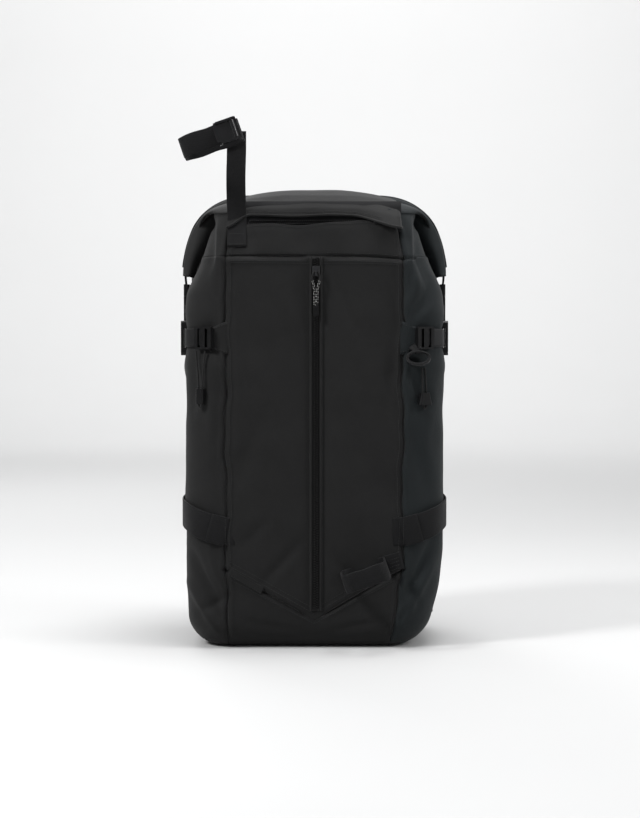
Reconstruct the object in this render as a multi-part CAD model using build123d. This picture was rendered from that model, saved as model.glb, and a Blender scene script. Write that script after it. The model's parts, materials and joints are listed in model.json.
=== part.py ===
from build123d import *
import os
from math import cos, radians, sin

# A roll-top ski-touring backpack. Millimetres, +Z up. The outer (front) face points to -Y,
# the harness to +Y, and +X is to the right when the front face is looked at.
# The origin is the centre of the flat base that the pack stands on.

# ---------------------------------------------------------------- driving dimensions
BAG_WIDTH = 320
BAG_DEPTH = 220
BODY_HEIGHT = 488          # height of the seam between the body and the collar
WALL = 4                   # lined and padded fabric wall
FRONT_RADIUS = 50          # vertical corners at the front
BACK_RADIUS = 40           # vertical corners at the back
BASE_RADIUS = 36           # round edge under the bag
FRONT_SEAM_X = 109         # the vertical seams left and right of the front panel
SEAM_V_LOW = 35            # the V seam above the base: height at the middle
SEAM_V_HIGH = 99           # and at the side seams
BACK_PANEL_Y = 70          # the back panel starts where the back corners start
COLLAR_SLOPE = 0.3         # the collar's front leans back by this much per mm of height
WEB = 2                    # thickness of all webbing
GAP = 0.3                  # clearance between pieces that move past each other
SKI_TILT = 19              # ski straps climb to the right by this angle, in degrees
SKI_STACK = 56             # depth of a strapped pair of skis
PIN_RADIUS = 1.5           # pin of the ski strap's cam lever

HALF_WIDTH = BAG_WIDTH / 2
FRONT_Y = -BAG_DEPTH / 2
BACK_Y = BAG_DEPTH / 2
CORNER_X = HALF_WIDTH - FRONT_RADIUS
CORNER_Y = FRONT_Y + FRONT_RADIUS

# Collar sections: height, half width, front y, back y, front radius, back radius.
COLLAR_SECTIONS = [
    (488, 160, -110.0, 110, 50, 40),
    (520, 150, -100.4, 104, 46, 38),
    (546, 130, -92.6, 92, 42, 36),
    (562, 104, -30.0, 34, 20, 20),
]

# Zips
FRONT_ZIP_X = 2
FRONT_ZIP_LOW = 48
ZIP_TAPE_WIDTH = 16
ZIP_TAPE = 3
TOP_ZIP_Z = 530
TOP_ZIP_LEFT = -82
TOP_ZIP_RIGHT = 104
RAIL_STEM = 2.6            # zip coil: width of its stem
RAIL_STEM_HEIGHT = 1.2
RAIL_HEAD = 5.6            # zip coil: width over the teeth
RAIL_HEAD_HEIGHT = 2.0
SLIDER_LENGTH = 13
SLIDER_ROOF = 1.6
SLIDER_LIP = 0.8
SLIDER_CLEARANCE = 0.2     # between a slider and its coil
SLIDER_CHEEKS = 3.4        # width that both cheeks of a slider add
BAIL_HEIGHT = 4.6          # loop on a slider that holds its pull
BAIL_EYE = 1.9             # height of the loop's middle over the roof
BAIL_RISE = RAIL_STEM_HEIGHT + RAIL_HEAD_HEIGHT + SLIDER_CLEARANCE + SLIDER_ROOF + BAIL_EYE
FRONT_SLIDER_Z = 463       # lower end of the front zip's slider
TOP_SLIDER_X = 88          # left end of the top zip's slider
TOP_TAPE = 1.0
TOP_TAPE_WIDTH = 13
FLAP_OFFSET = 11           # rain flap's middle above the top zip
FLAP = (7, 2.5)            # rain flap's height and thickness
PULL_LENGTH = 43           # from the front slider's middle to the pull's moulded tip
TIP_LENGTH = 12
TAB_LENGTH = 22            # top zip's pull tab
TAB_WIDTH = 7
CORD = 2.5                 # zip-pull cord diameter
TOGGLE_CORD = 2.2          # cord diameter at the compression straps

# Roll-top
ROLL_LOW = COLLAR_SECTIONS[-1][0] + GAP
ROLL_HIGH = 578
EAR = 5                    # thickness of the folded roll ends
EAR_HALF_DEPTH = 30
EAR_LOW = 469
ROLL_BUCKLE_Y = 2
ROLL_BUCKLE_X = 165.2      # middle of the roll-top buckles
ROLL_SOCKET_Z = 403        # anchor end of their sockets
ROLL_SOCKET_LENGTH = 38
ROLL_STRAP_HALF = 10       # half width of the roll straps

# Compression straps and loops
COMPRESSION_LOW = 376
COMPRESSION_HIGH = 398
TAB_HALF = 21              # compression tab: half height at the seam
TAB_END_HALF = 12.5        # and at its narrow end
WEB_ANGLE = 26             # the webbing leaves the tab at this angle round the corner
LOCK_ANGLE = 29            # ladder lock: place round the corner
LOCK_WIDTH = 25
LOCK_HEIGHT = 28
LOCK_THICKNESS = 4.5
CLIP_Y = (-44, -12)        # side clip, seen edge on from the front
CLIP_HALF = 22
CLIP_DEPTH = 10
KEEPER_X = 129             # rolled-up end of the right compression strap
KEEPER_Z = 362
KEEPER_WIDTH = 32
KEEPER_HEIGHT = 19
TOGGLE_Z = 305             # lower face of the left cord lock
END_TAB_Z = 304            # lower face of the right end tab
LOOP_LOW = 129             # lower ski loop at the front seam
LOOP_HIGH = 164
LOOP_RISE = 21             # it climbs this much to the side
LOOP_GAP = 6.5             # it stands off the side by this much

# Ski straps
UPPER_LOOP = (-125, 628)   # middle of the upper loop
UPPER_INNER = 72           # inner width of the upper loop
UPPER_WIDTH = 25           # width of its webbing
LOWER_LOOP = (63, 96)
LOWER_INNER = 54
LOWER_WIDTH = 23
RING_RADIUS = 12
RISER_X = (-108, -84)
RISER_LOW = 500
RISER_HIGH = 644

# Harness
PAD = 12
LUMBAR_PAD = 16
SPINE_PAD_Z = (184, 430)
STERNUM_RAIL_LOW = 305
STERNUM_RAIL_LENGTH = 120
STERNUM_HALF = 9           # half width of the chest webbing
HIP_HALF_HEIGHT = 42       # hip wing at its root
HIP_FRONT_Y = 129          # hip pad: face towards the bag
HIP_BACK_Y = 141           # and its outer face
HIP_BUCKLE_WIDTH = 40
HIP_SOCKET_X = -40
HIP_MOUTH_X = 26
HIP_ARM_Z = 14.5           # the plug's arms above and below its middle
STRAP_OUTER_Y = 176        # face of the shoulder straps that the chest strap's rails sit on
STERNUM_Z = 365
STERNUM_RAIL_X = 66
HIP_PIVOT = (-130, 118)
HIP_Z = 105


# ---------------------------------------------------------------- small helpers
def span(x, y, z):
    """Box between two x, two y and two z values."""
    centre = ((x[0] + x[1]) / 2, (y[0] + y[1]) / 2, (z[0] + z[1]) / 2)
    return Pos(*centre) * Box(x[1] - x[0], y[1] - y[0], z[1] - z[0])


def mirrored(shape):
    """The same piece on the other side of the bag."""
    return mirror(shape, about=Plane.YZ)


def pair(shape):
    """The piece and its mirror image, as two solids of one sub-part."""
    return Part(children=[shape, mirrored(shape)])


def ribbon(path, thickness, side=Side.LEFT):
    """Flat outline of a band that has `path` as one of its faces."""
    return make_face(path.offset_2d(thickness, side=side).edges())


def prism_xz(points, y, radius=0):
    """Outline in the XZ plane, extruded between two y values."""
    outline = make_face(Polyline(*points, close=True))
    if radius:
        outline = fillet(outline.vertices(), radius)
    placed = Plane(origin=(0, y[0], 0), x_dir=(1, 0, 0), z_dir=(0, -1, 0)) * outline
    return extrude(placed, -(y[1] - y[0]))


def prism_xy(flat, z):
    """Flat XY shape, extruded between two heights."""
    return extrude(Pos(0, 0, z[0]) * flat, z[1] - z[0])


def prism_yz(flat, x):
    """Flat shape drawn as (y, z), extruded between two x values."""
    placed = Plane(origin=(x[0], 0, 0), x_dir=(0, 1, 0), z_dir=(1, 0, 0)) * flat
    return extrude(placed, x[1] - x[0])


def bar_between(start, end, width, thickness, across=(1, 0, 0)):
    """Straight strap from start to end, `width` wide along `across`."""
    start = Vector(*start)
    end = Vector(*end)
    along = end - start
    place = Plane(origin=start, x_dir=across, z_dir=along)
    return extrude(place * Rectangle(width, thickness), along.length)


def cord_route(points):
    """Path of straight runs and tangent arcs, each arc as large as its runs allow."""
    corners = [Vector(*point) for point in points]
    radii = []
    for before, here, after in zip(corners, corners[1:], corners[2:]):
        run = min((here - before).length, (after - here).length)
        turn = (here - before).get_angle(after - here)
        radii.append(0.45 * run / (sin(radians(turn / 2)) / cos(radians(turn / 2))))
    return FilletPolyline(*points, radius=radii), radii


def cord_tube(name, points, diameter):
    """Round cord along its route; prints the radii and compares the volume."""
    path, radii = cord_route(points)
    start = Plane(origin=path @ 0, z_dir=path % 0)
    tube = sweep(start * Circle(diameter / 2), path=path)
    expected = 3.14159 * diameter ** 2 / 4 * path.length
    shown = " ".join(f"{radius:.1f}" for radius in radii)
    print(f"{name}: length {path.length:.1f}, volume/expected {tube.volume / expected:.3f}, radii {shown}")
    return tube


# ---------------------------------------------------------------- the bag's shell
def section(half_width, front, back, front_radius, back_radius):
    """Rounded rectangle of the bag at one height."""
    flat = make_face(Polyline((-half_width, front), (half_width, front),
                              (half_width, back), (-half_width, back), close=True))
    corners = flat.vertices().group_by(Axis.Y)
    flat = fillet(corners[0], front_radius)
    corners = flat.vertices().filter_by(lambda v: v.Y > back - 0.01)
    return fillet(corners, back_radius)


def body_solid(inset):
    """Solid of the bag's body, moved in by `inset` from the outer faces."""
    flat = section(HALF_WIDTH - inset, FRONT_Y + inset, BACK_Y - inset,
                   FRONT_RADIUS - inset, BACK_RADIUS - inset)
    solid = extrude(Pos(0, 0, inset) * flat, BODY_HEIGHT - inset)
    return fillet(solid.edges().group_by(Axis.Z)[0], BASE_RADIUS - inset)


def collar_piece(first, last, inset):
    """Ruled piece of the collar between two of its sections."""
    flats = []
    for number in (first, last):
        height, half, front, back, r_front, r_back = COLLAR_SECTIONS[number]
        shape = section(half - inset, front + inset, back - inset, r_front - inset, r_back - inset)
        flats.append((Pos(0, 0, height) * shape).face())
    return loft(flats, ruled=True)


def collar_shell(first, last):
    """Open ring of wall between two sections."""
    return collar_piece(first, last, 0) - collar_piece(first, last, WALL)


def bag_panels():
    """The body's wall, cut along its seams into five panels."""
    wall = body_solid(0) - body_solid(WALL)
    seam = FRONT_SEAM_X
    top = BODY_HEIGHT
    front_zone = prism_xz([(-seam, SEAM_V_HIGH), (0, SEAM_V_LOW), (seam, SEAM_V_HIGH),
                           (seam, top), (-seam, top)], (FRONT_Y - 1, CORNER_Y))
    base_zone = prism_xz([(-seam, -1), (seam, -1), (seam, SEAM_V_HIGH),
                          (0, SEAM_V_LOW), (-seam, SEAM_V_HIGH)], (FRONT_Y - 1, BACK_PANEL_Y))
    left_zone = span((-HALF_WIDTH - 1, -seam), (FRONT_Y - 1, BACK_PANEL_Y), (-1, top))
    back_zone = span((-HALF_WIDTH - 1, HALF_WIDTH + 1), (BACK_PANEL_Y, BACK_Y + 1), (-1, top))
    half_tape = ZIP_TAPE_WIDTH / 2
    zip_slot = span((FRONT_ZIP_X - half_tape, FRONT_ZIP_X + half_tape),
                    (FRONT_Y - 1, FRONT_Y + WALL + 1), (FRONT_ZIP_LOW, top + 1))
    side = wall & left_zone
    return {
        "front_panel": (wall & front_zone) - zip_slot,
        "base_panel": wall & base_zone,
        "side_panel_left": side,
        "side_panel_right": mirrored(side),
        "back_panel": wall & back_zone,
    }


def collar():
    """Collar band above the body and the hood that closes over it."""
    return {
        "collar_band": collar_shell(0, 1) + collar_shell(1, 2),
        "collar_hood": collar_shell(2, 3),
    }


def inner_parts():
    """Frame sheet, its two stays and the sheet that divides off the tool pocket."""
    sheet_back = BACK_Y - WALL
    sheet = span((-100, 100), (sheet_back - 2, sheet_back), (60, 470))
    stay = span((-62, -50), (sheet_back - 5, sheet_back - 2), (70, 460))
    divider = span((-152, 152), (-62, -60.5), (40, 470))
    return {
        "frame_sheet": sheet,
        "frame_stays": pair(stay),
        "tool_divider": divider,
    }


# ---------------------------------------------------------------- zips
def rail(place, length):
    """T-section of a closed zip coil; `place` has x across, y outward and z along."""
    stem = place * Pos(0, RAIL_STEM_HEIGHT / 2) * Rectangle(RAIL_STEM, RAIL_STEM_HEIGHT)
    head_middle = RAIL_STEM_HEIGHT + RAIL_HEAD_HEIGHT / 2
    head = place * Pos(0, head_middle) * Rectangle(RAIL_HEAD, RAIL_HEAD_HEIGHT)
    return extrude(stem, length) + extrude(head, length)


def rail_slider(place, length=SLIDER_LENGTH, bail=True):
    """Slider that wraps the coil, with a bail for its pull at the upper end."""
    cavity_width = RAIL_HEAD + 2 * SLIDER_CLEARANCE
    cavity_low = RAIL_STEM_HEIGHT - SLIDER_CLEARANCE
    cavity_high = RAIL_STEM_HEIGHT + RAIL_HEAD_HEIGHT + SLIDER_CLEARANCE
    low = cavity_low - SLIDER_LIP
    high = cavity_high + SLIDER_ROOF
    outer = place * Pos(0, (low + high) / 2) * RectangleRounded(
        cavity_width + SLIDER_CHEEKS, high - low, 1)
    cavity = place * Pos(0, (cavity_low + cavity_high) / 2) * Rectangle(
        cavity_width, cavity_high - cavity_low)
    slit = place * Pos(0, low) * Rectangle(
        RAIL_STEM + 2 * SLIDER_CLEARANCE, 4 * SLIDER_LIP)
    body = extrude(outer, length) - extrude(cavity, length) - extrude(slit, length)
    if not bail:
        return body
    bail_high = high + BAIL_HEIGHT
    bail_block = extrude(place.offset(1) * Pos(0, (high + bail_high) / 2) * Rectangle(
        2, bail_high - high), length - 2)
    hole = extrude(place.offset(3.2) * Pos(0, high + BAIL_EYE) * Rectangle(
        3, 2 * BAIL_EYE), length - 6.4)
    return body + (bail_block - hole)


def front_zip_place(z):
    """Frame on the front face at the zip, x across, y outward, z up."""
    return Plane(origin=(FRONT_ZIP_X, FRONT_Y, z), x_dir=(-1, 0, 0), z_dir=(0, 0, 1))


def collar_front_y(z):
    """The collar's front face at a height."""
    return FRONT_Y + COLLAR_SLOPE * (z - BODY_HEIGHT)


def collar_out():
    """Unit vector out of the collar's front face."""
    return Vector(0, -1, COLLAR_SLOPE).normalized()


def top_zip_place(x, lift=0):
    """Frame on the collar's front face at the top zip, y outward and z along +X."""
    origin = Vector(x, collar_front_y(TOP_ZIP_Z), TOP_ZIP_Z) + collar_out() * lift
    up = Vector(0, COLLAR_SLOPE, 1).normalized()
    return Plane(origin=origin, x_dir=up, z_dir=(1, 0, 0))


def front_zip():
    """Tape and coil in the front panel's slot, the slider, and its cord pull."""
    half_tape = ZIP_TAPE_WIDTH / 2
    tape = span((FRONT_ZIP_X - half_tape, FRONT_ZIP_X + half_tape),
                (FRONT_Y, FRONT_Y + ZIP_TAPE), (FRONT_ZIP_LOW, BODY_HEIGHT))
    coil = rail(front_zip_place(FRONT_ZIP_LOW + 4), BODY_HEIGHT - FRONT_ZIP_LOW - 4)
    slider = rail_slider(front_zip_place(FRONT_SLIDER_Z))
    cord_y = FRONT_Y - BAIL_RISE
    top = FRONT_SLIDER_Z + SLIDER_LENGTH / 2
    tip_top = top - PULL_LENGTH
    half = [(-1.5, tip_top), (-1.6, top - 31), (-2.1, top - 20), (-4.9, top - 11), (-4.3, top - 4)]
    left = [(FRONT_ZIP_X + x, cord_y, z) for x, z in half]
    right = [(FRONT_ZIP_X - x, cord_y, z) for x, z in reversed(half)]
    route = left + [(FRONT_ZIP_X, cord_y, top + 0.6)] + right
    cord = cord_tube("front_pull_cord", route, CORD)
    tip = span((FRONT_ZIP_X - 3.4, FRONT_ZIP_X + 3.4), (cord_y - 2, cord_y + 1.2),
               (tip_top - TIP_LENGTH, tip_top))
    tip = fillet(tip.edges().filter_by(Axis.Z), 1) - cord
    return {
        "front_zip_tape": tape + coil,
        "front_zip_slider": slider,
        "front_pull_cord": cord,
        "front_pull_tip": tip,
    }


def top_zip():
    """Zip of the collar's pocket, its rain flap, slider and pull tab."""
    length = TOP_ZIP_RIGHT - TOP_ZIP_LEFT
    tape = extrude(top_zip_place(TOP_ZIP_LEFT) * Pos(0, TOP_TAPE / 2) * Rectangle(
        TOP_TAPE_WIDTH, TOP_TAPE), length)
    coil = rail(top_zip_place(TOP_ZIP_LEFT, TOP_TAPE), length)
    slider = rail_slider(top_zip_place(TOP_SLIDER_X, TOP_TAPE))
    flap = extrude(top_zip_place(TOP_ZIP_LEFT) * Pos(FLAP_OFFSET, FLAP[1] / 2) * Rectangle(*FLAP), length)
    middle = top_zip_place(TOP_SLIDER_X + SLIDER_LENGTH / 2, TOP_TAPE + BAIL_RISE)
    flat = Plane(origin=middle.origin, x_dir=(-1, 0, 0), z_dir=collar_out())
    pin_half = 0.9
    tab_outline = Pos(TAB_LENGTH / 2 - pin_half, 0) * RectangleRounded(TAB_LENGTH, TAB_WIDTH, 0.8)
    eye = Pos(3.8, 0) * Rectangle(6, 3.4)
    tab = extrude(flat * (tab_outline - eye), pin_half, both=True)
    return {
        "top_zip_tape": tape + coil,
        "top_zip_flap": flap,
        "top_zip_slider": slider,
        "top_zip_tab": tab,
    }


# ---------------------------------------------------------------- side-release buckles
def buckle_socket(place, width, thickness, length):
    """Female half. `place` lies at its anchor end with z towards the mouth."""
    body = extrude(place * RectangleRounded(width, thickness, 1.5), length)
    cavity = extrude(place.offset(8) * Rectangle(width - 4, thickness - 2.6), length)
    slot = extrude(place.offset(2.4) * Rectangle(width - 6, thickness + 2), 3)
    window = extrude(place.offset(length * 0.45) * Rectangle(width + 2, thickness - 2.6), length * 0.25)
    return body - cavity - slot - window


def buckle_plug(place, width, thickness, prong, arms=True):
    """Male half. `place` lies at its mouth plane with z pointing away from the socket."""
    body = extrude(place.offset(GAP) * RectangleRounded(width, thickness, 1.5), 15)
    slot = extrude(place.offset(8) * Rectangle(width - 6, thickness + 2), 3.6)
    prong_thickness = thickness - 3.4
    guide = extrude(place.offset(GAP) * Rectangle(width * 0.16, prong_thickness), -prong)
    piece = (body - slot) + guide
    if arms:
        for side in (-1, 1):
            piece = piece + plug_arm(place, width, prong_thickness, prong, side)
    return piece


def plug_arm(place, width, thickness, prong, side):
    """One springy arm of the male half, along the socket's inner wall."""
    arm_width = width * 0.13
    centre = side * (width / 2 - 2 - GAP - arm_width / 2)
    return extrude(place.offset(GAP) * Pos(centre, 0) * Rectangle(arm_width, thickness), -prong)


# ---------------------------------------------------------------- roll-top
def roll_top():
    """The rolled closure: bundle, stiffener, folded ends, straps and plugs."""
    half = COLLAR_SECTIONS[-1][1]
    height = ROLL_HIGH - ROLL_LOW
    middle = (ROLL_LOW + ROLL_HIGH) / 2
    outline = Pos(ROLL_BUCKLE_Y, middle) * SlotOverall(64, height)
    core = Pos(ROLL_BUCKLE_Y, middle) * Rectangle(34, 4)
    flattened = Pos(ROLL_BUCKLE_Y, ROLL_LOW + 2.5) * Rectangle(62, 5)
    bundle = prism_yz(outline, (-half, half)) + prism_yz(flattened, (-half, half))
    stiffener = prism_yz(core, (-half + 6, half - 6))
    pieces = {
        "roll_bundle": bundle - stiffener,
        "roll_stiffener": stiffener,
    }
    ear_y = (ROLL_BUCKLE_Y - EAR_HALF_DEPTH, ROLL_BUCKLE_Y + EAR_HALF_DEPTH)
    edge = FilletPolyline((-half, ROLL_LOW), (-132.5, 547.5), (-152.4, 520.4), (-160.6, 488),
                          (-160.6, EAR_LOW), radius=[14, 40, 60])
    ear = prism_xz_flat(ribbon(edge, EAR, Side.RIGHT), ear_y)
    mouth_z = ROLL_SOCKET_Z + ROLL_SOCKET_LENGTH
    strap_y = (ROLL_BUCKLE_Y - ROLL_STRAP_HALF, ROLL_BUCKLE_Y + ROLL_STRAP_HALF)
    ear_face = -HALF_WIDTH - EAR - 0.6
    strap = span((ear_face - WEB, ear_face), strap_y, (mouth_z + 16, mouth_z + 48))
    mouth = Plane(origin=(-ROLL_BUCKLE_X, ROLL_BUCKLE_Y, mouth_z), x_dir=(0, 1, 0), z_dir=(0, 0, 1))
    plug = buckle_plug(mouth, 24, 7, 22)
    base = Plane(origin=(-ROLL_BUCKLE_X, ROLL_BUCKLE_Y, ROLL_SOCKET_Z), x_dir=(0, 1, 0), z_dir=(0, 0, 1))
    socket = buckle_socket(base, 24, 7, ROLL_SOCKET_LENGTH)
    anchor = span((-HALF_WIDTH - 1.7, -HALF_WIDTH), strap_y, (COMPRESSION_HIGH + 3, mouth_z - 2))
    sides = {
        "roll_ends": ear,
        "roll_straps": strap,
        "roll_plugs": plug,
        "roll_sockets": socket,
        "roll_anchors": anchor,
    }
    for name, piece in sides.items():
        pieces[name] = pair(piece)
    return pieces


def prism_xz_flat(flat, y):
    """Flat shape drawn as (x, z), extruded between two y values."""
    placed = Plane(origin=(0, y[1], 0), x_dir=(1, 0, 0), z_dir=(0, -1, 0)) * flat
    return extrude(placed, y[1] - y[0])


# ---------------------------------------------------------------- straps on the sides
def corner_point(angle, lift):
    """Point over the left front corner; angle from straight ahead, in degrees."""
    reach = FRONT_RADIUS + lift
    return (-CORNER_X - reach * sin(radians(angle)), CORNER_Y - reach * cos(radians(angle)))


def corner_place(angle, lift, z):
    """Frame over the left front corner, x along the bag, y up, z outward."""
    x, y = corner_point(angle, lift)
    out = (-sin(radians(angle)), -cos(radians(angle)), 0)
    along = (cos(radians(angle)), -sin(radians(angle)), 0)
    return Plane(origin=(x, y, z), x_dir=along, z_dir=out)


def compression():
    """Fabric tab, ladder lock, webbing and edge-on side clip of one compression strap."""
    middle = (COMPRESSION_LOW + COMPRESSION_HIGH) / 2
    arc = Line((-100, FRONT_Y), (-CORNER_X, FRONT_Y)) + CenterArc(
        (-CORNER_X, CORNER_Y), FRONT_RADIUS, 270, -24)
    tab_flat = ribbon(Wire(arc.edges()), WEB)
    tab_outline = prism_xz([(-98, middle - TAB_HALF), (-111, middle - TAB_HALF),
                            (-136, middle - TAB_END_HALF), (-136, middle + TAB_END_HALF),
                            (-111, middle + TAB_HALF), (-98, middle + TAB_HALF)],
                           (FRONT_Y - 5, CORNER_Y))
    tab = prism_xy(tab_flat, (middle - TAB_HALF, middle + TAB_HALF)) & tab_outline
    round_side = CenterArc((-CORNER_X, CORNER_Y), FRONT_RADIUS, 270 - WEB_ANGLE, WEB_ANGLE - 90)
    side_line = Line((-HALF_WIDTH, CORNER_Y), (-HALF_WIDTH, BACK_PANEL_Y))
    web_flat = ribbon(Wire((round_side + side_line).edges()), WEB)
    web = prism_xy(web_flat, (COMPRESSION_LOW, COMPRESSION_HIGH))
    lock_place = corner_place(LOCK_ANGLE, WEB + 1.2, middle)
    frame_outline = RectangleRounded(LOCK_WIDTH, LOCK_HEIGHT, 3)
    slots = Pos(-6, 0) * Rectangle(4, 23) + Pos(5, 0) * Rectangle(5, 23)
    lock = extrude(lock_place * (frame_outline - slots), LOCK_THICKNESS)
    lip = extrude(lock_place.offset(LOCK_THICKNESS) * Pos(10, 0) * Rectangle(5, LOCK_HEIGHT - 4), 2)
    clip_z = (middle - CLIP_HALF, middle + CLIP_HALF)
    clip = span((-HALF_WIDTH - CLIP_DEPTH, -HALF_WIDTH - WEB), CLIP_Y, clip_z)
    clip = fillet(clip.edges().filter_by(Axis.X), 4)
    channel = span((-HALF_WIDTH - 6.5, -HALF_WIDTH - 4), CLIP_Y, (middle - 12, middle + 12))
    window = span((-HALF_WIDTH - 11, -HALF_WIDTH - 4), (-32, -24), (middle - 12, middle + 12))
    return {
        "compression_tabs": pair(tab),
        "compression_locks": pair(lock + lip),
        "compression_webs": pair(web),
        "compression_clips": pair(clip - channel - window),
    }


def side_loop():
    """Wide webbing loop low on the side that takes a ski tail."""
    bulge = -HALF_WIDTH - LOOP_GAP
    path = FilletPolyline((-98, FRONT_Y), (-112, FRONT_Y), (-147, FRONT_Y + 2), (bulge, -64),
                          (bulge, 16), (-HALF_WIDTH, 44), (-HALF_WIDTH, 62),
                          radius=[30, 18, 22, 14, 14])
    band = prism_xy(ribbon(path, WEB), (LOOP_LOW - 5, LOOP_HIGH + LOOP_RISE + 5))
    slope = prism_xz([(-97, LOOP_LOW), (-109, LOOP_LOW), (-158, LOOP_LOW + LOOP_RISE),
                      (-180, LOOP_LOW + LOOP_RISE), (-180, LOOP_HIGH + LOOP_RISE),
                      (-158, LOOP_HIGH + LOOP_RISE), (-109, LOOP_HIGH), (-97, LOOP_HIGH)],
                     (FRONT_Y - 5, BACK_PANEL_Y))
    return band & slope


def toggle_cord_left():
    """Thin cord from the left lock down through a small cord lock and back."""
    route = [(-146.8, -103.2, 370.5), (-145.6, -104.3, 355), (-144.3, -105.2, 341), (-143.6, -105.4, 327),
             (-143.7, -105.5, 314), (-143.6, -105.6, 305), (-143.1, -106.0, 300.4),
             (-139.8, -108.2, 300.4), (-139.3, -108.6, 305), (-139.2, -108.6, 314),
             (-139.1, -108.6, 327), (-138.2, -109.2, 341), (-136.9, -109.7, 355), (-135.4, -110.5, 370.5)]
    return cord_tube("cord_left", route, TOGGLE_CORD)


def toggle_cord_right():
    """Doubled cord from the right lock down to a moulded end tab."""
    route = [(133.6, -109.6, 350), (134.0, -110.2, 335), (134.4, -110.6, 321), (134.8, -110.4, 308),
             (135.6, -110.0, 299.6), (139.0, -107.7, 299.6), (139.3, -107.4, 308),
             (138.6, -107.9, 321), (138.0, -108.2, 335), (137.0, -107.4, 350)]
    return cord_tube("cord_right", route, TOGGLE_CORD)


def toggles():
    """Cords with the small moulded pieces on their ends, and the right strap keeper."""
    cord_left = toggle_cord_left()
    cord_right = toggle_cord_right()
    place = Plane(origin=(-141.4, -107.05, TOGGLE_Z), x_dir=(0.83, -0.56, 0), z_dir=(0, 0, 1))
    lock = extrude(place * RectangleRounded(10.5, 7, 2), 19) - cord_left
    end_place = Plane(origin=(136.9, -109.2, END_TAB_Z), x_dir=(0.83, 0.56, 0), z_dir=(0, 0, 1))
    low = end_place * RectangleRounded(19, 6.5, 2)
    high = end_place.offset(15) * RectangleRounded(12, 6.5, 2)
    end_tab = loft([low.face(), high.face()], ruled=True) - cord_right
    ring_outer = Pos(KEEPER_X, KEEPER_Z) * SlotOverall(KEEPER_WIDTH, KEEPER_HEIGHT)
    ring_inner = Pos(KEEPER_X, KEEPER_Z) * SlotOverall(KEEPER_WIDTH - 2 * WEB, KEEPER_HEIGHT - 2 * WEB)
    keeper = prism_xz_flat(ring_outer - ring_inner, (FRONT_Y - 14, FRONT_Y - 2.4))
    return {
        "toggle_cord_left": cord_left,
        "toggle_lock_left": lock,
        "toggle_cord_right": cord_right,
        "toggle_tab_right": end_tab,
        "strap_keeper_right": keeper,
    }


# ---------------------------------------------------------------- ski straps
def ski_ring(centre, inner_width, back_y, web_width):
    """Closed webbing loop for a pair of skis, climbing to the right."""
    depth = SKI_STACK + 2 * WEB
    middle = back_y - depth / 2
    outer = RectangleRounded(inner_width + 2 * WEB, depth, RING_RADIUS)
    inner = RectangleRounded(inner_width, SKI_STACK, RING_RADIUS - WEB)
    ring = extrude(outer - inner, web_width / 2, both=True)
    return Pos(centre[0], middle, centre[1]) * Rot(0, -SKI_TILT, 0) * ring


def lower_ski_strap():
    """Loop on the front panel, with the tail that ties it to the right seam."""
    ring = ski_ring(LOWER_LOOP, LOWER_INNER, FRONT_Y, LOWER_WIDTH)
    anchor = prism_xz([(84, 92), (109, 100), (109, 122), (84, 116)], (FRONT_Y - WEB, FRONT_Y))
    return {"lower_ski_strap": ring + anchor}


def upper_ski_strap():
    """Loop above the bag, the riser that holds it, and the cam buckle on its front."""
    back_y = FRONT_Y - 2
    ring = ski_ring(UPPER_LOOP, UPPER_INNER, back_y, UPPER_WIDTH)
    profile = FilletPolyline((collar_front_y(RISER_LOW), RISER_LOW), (collar_front_y(534), 534),
                             (back_y + WEB, 588), (back_y + WEB, RISER_HIGH), radius=[30, 40])
    riser = prism_yz(ribbon(profile, WEB), RISER_X)
    front_y = back_y - SKI_STACK - 2 * WEB
    climb = (cos(radians(SKI_TILT)), 0, sin(radians(SKI_TILT)))
    tilt = Plane(origin=(UPPER_LOOP[0], front_y, UPPER_LOOP[1]), x_dir=climb, z_dir=(0, -1, 0))
    base = extrude(tilt * Pos(22, 0) * Rectangle(28, 28), 2.5)
    barrel_place = Plane(origin=tilt.offset(7.6).origin + tilt.x_dir * 30, x_dir=tilt.x_dir,
                         z_dir=tilt.y_dir)
    bore = extrude(barrel_place * Circle(PIN_RADIUS + 0.05), 20, both=True)
    buckle = base
    for side in (-1, 1):
        cheek = extrude(tilt.offset(2) * Pos(23, side * 12.2) * Rectangle(24, 2.8), 9.5)
        buckle = buckle + cheek
    buckle = buckle - bore
    lever_back = extrude(tilt.offset(4.2) * Pos(19, 0) * RectangleRounded(26, 20.6, 2), 3)
    barrel = extrude(barrel_place * Circle(3.1), 10.3, both=True)
    pin = extrude(barrel_place * Circle(PIN_RADIUS), 14, both=True)
    lever = lever_back + barrel + pin
    return {
        "upper_ski_strap": ring,
        "upper_strap_riser": riser,
        "ski_buckle": buckle,
        "ski_buckle_lever": lever,
    }


# ---------------------------------------------------------------- back and harness
def back_padding():
    """Spine pads and the lumbar pad on the back panel."""
    pad = span((-92, -14), (BACK_Y, BACK_Y + PAD), SPINE_PAD_Z)
    pad = fillet(pad.edges().filter_by(Axis.Y), 14)
    lumbar = prism_xz([(-118, 62), (118, 62), (106, 148), (-106, 148)], (BACK_Y, BACK_Y + LUMBAR_PAD), 14)
    return {"back_pads": pair(pad), "lumbar_pad": lumbar}


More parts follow.
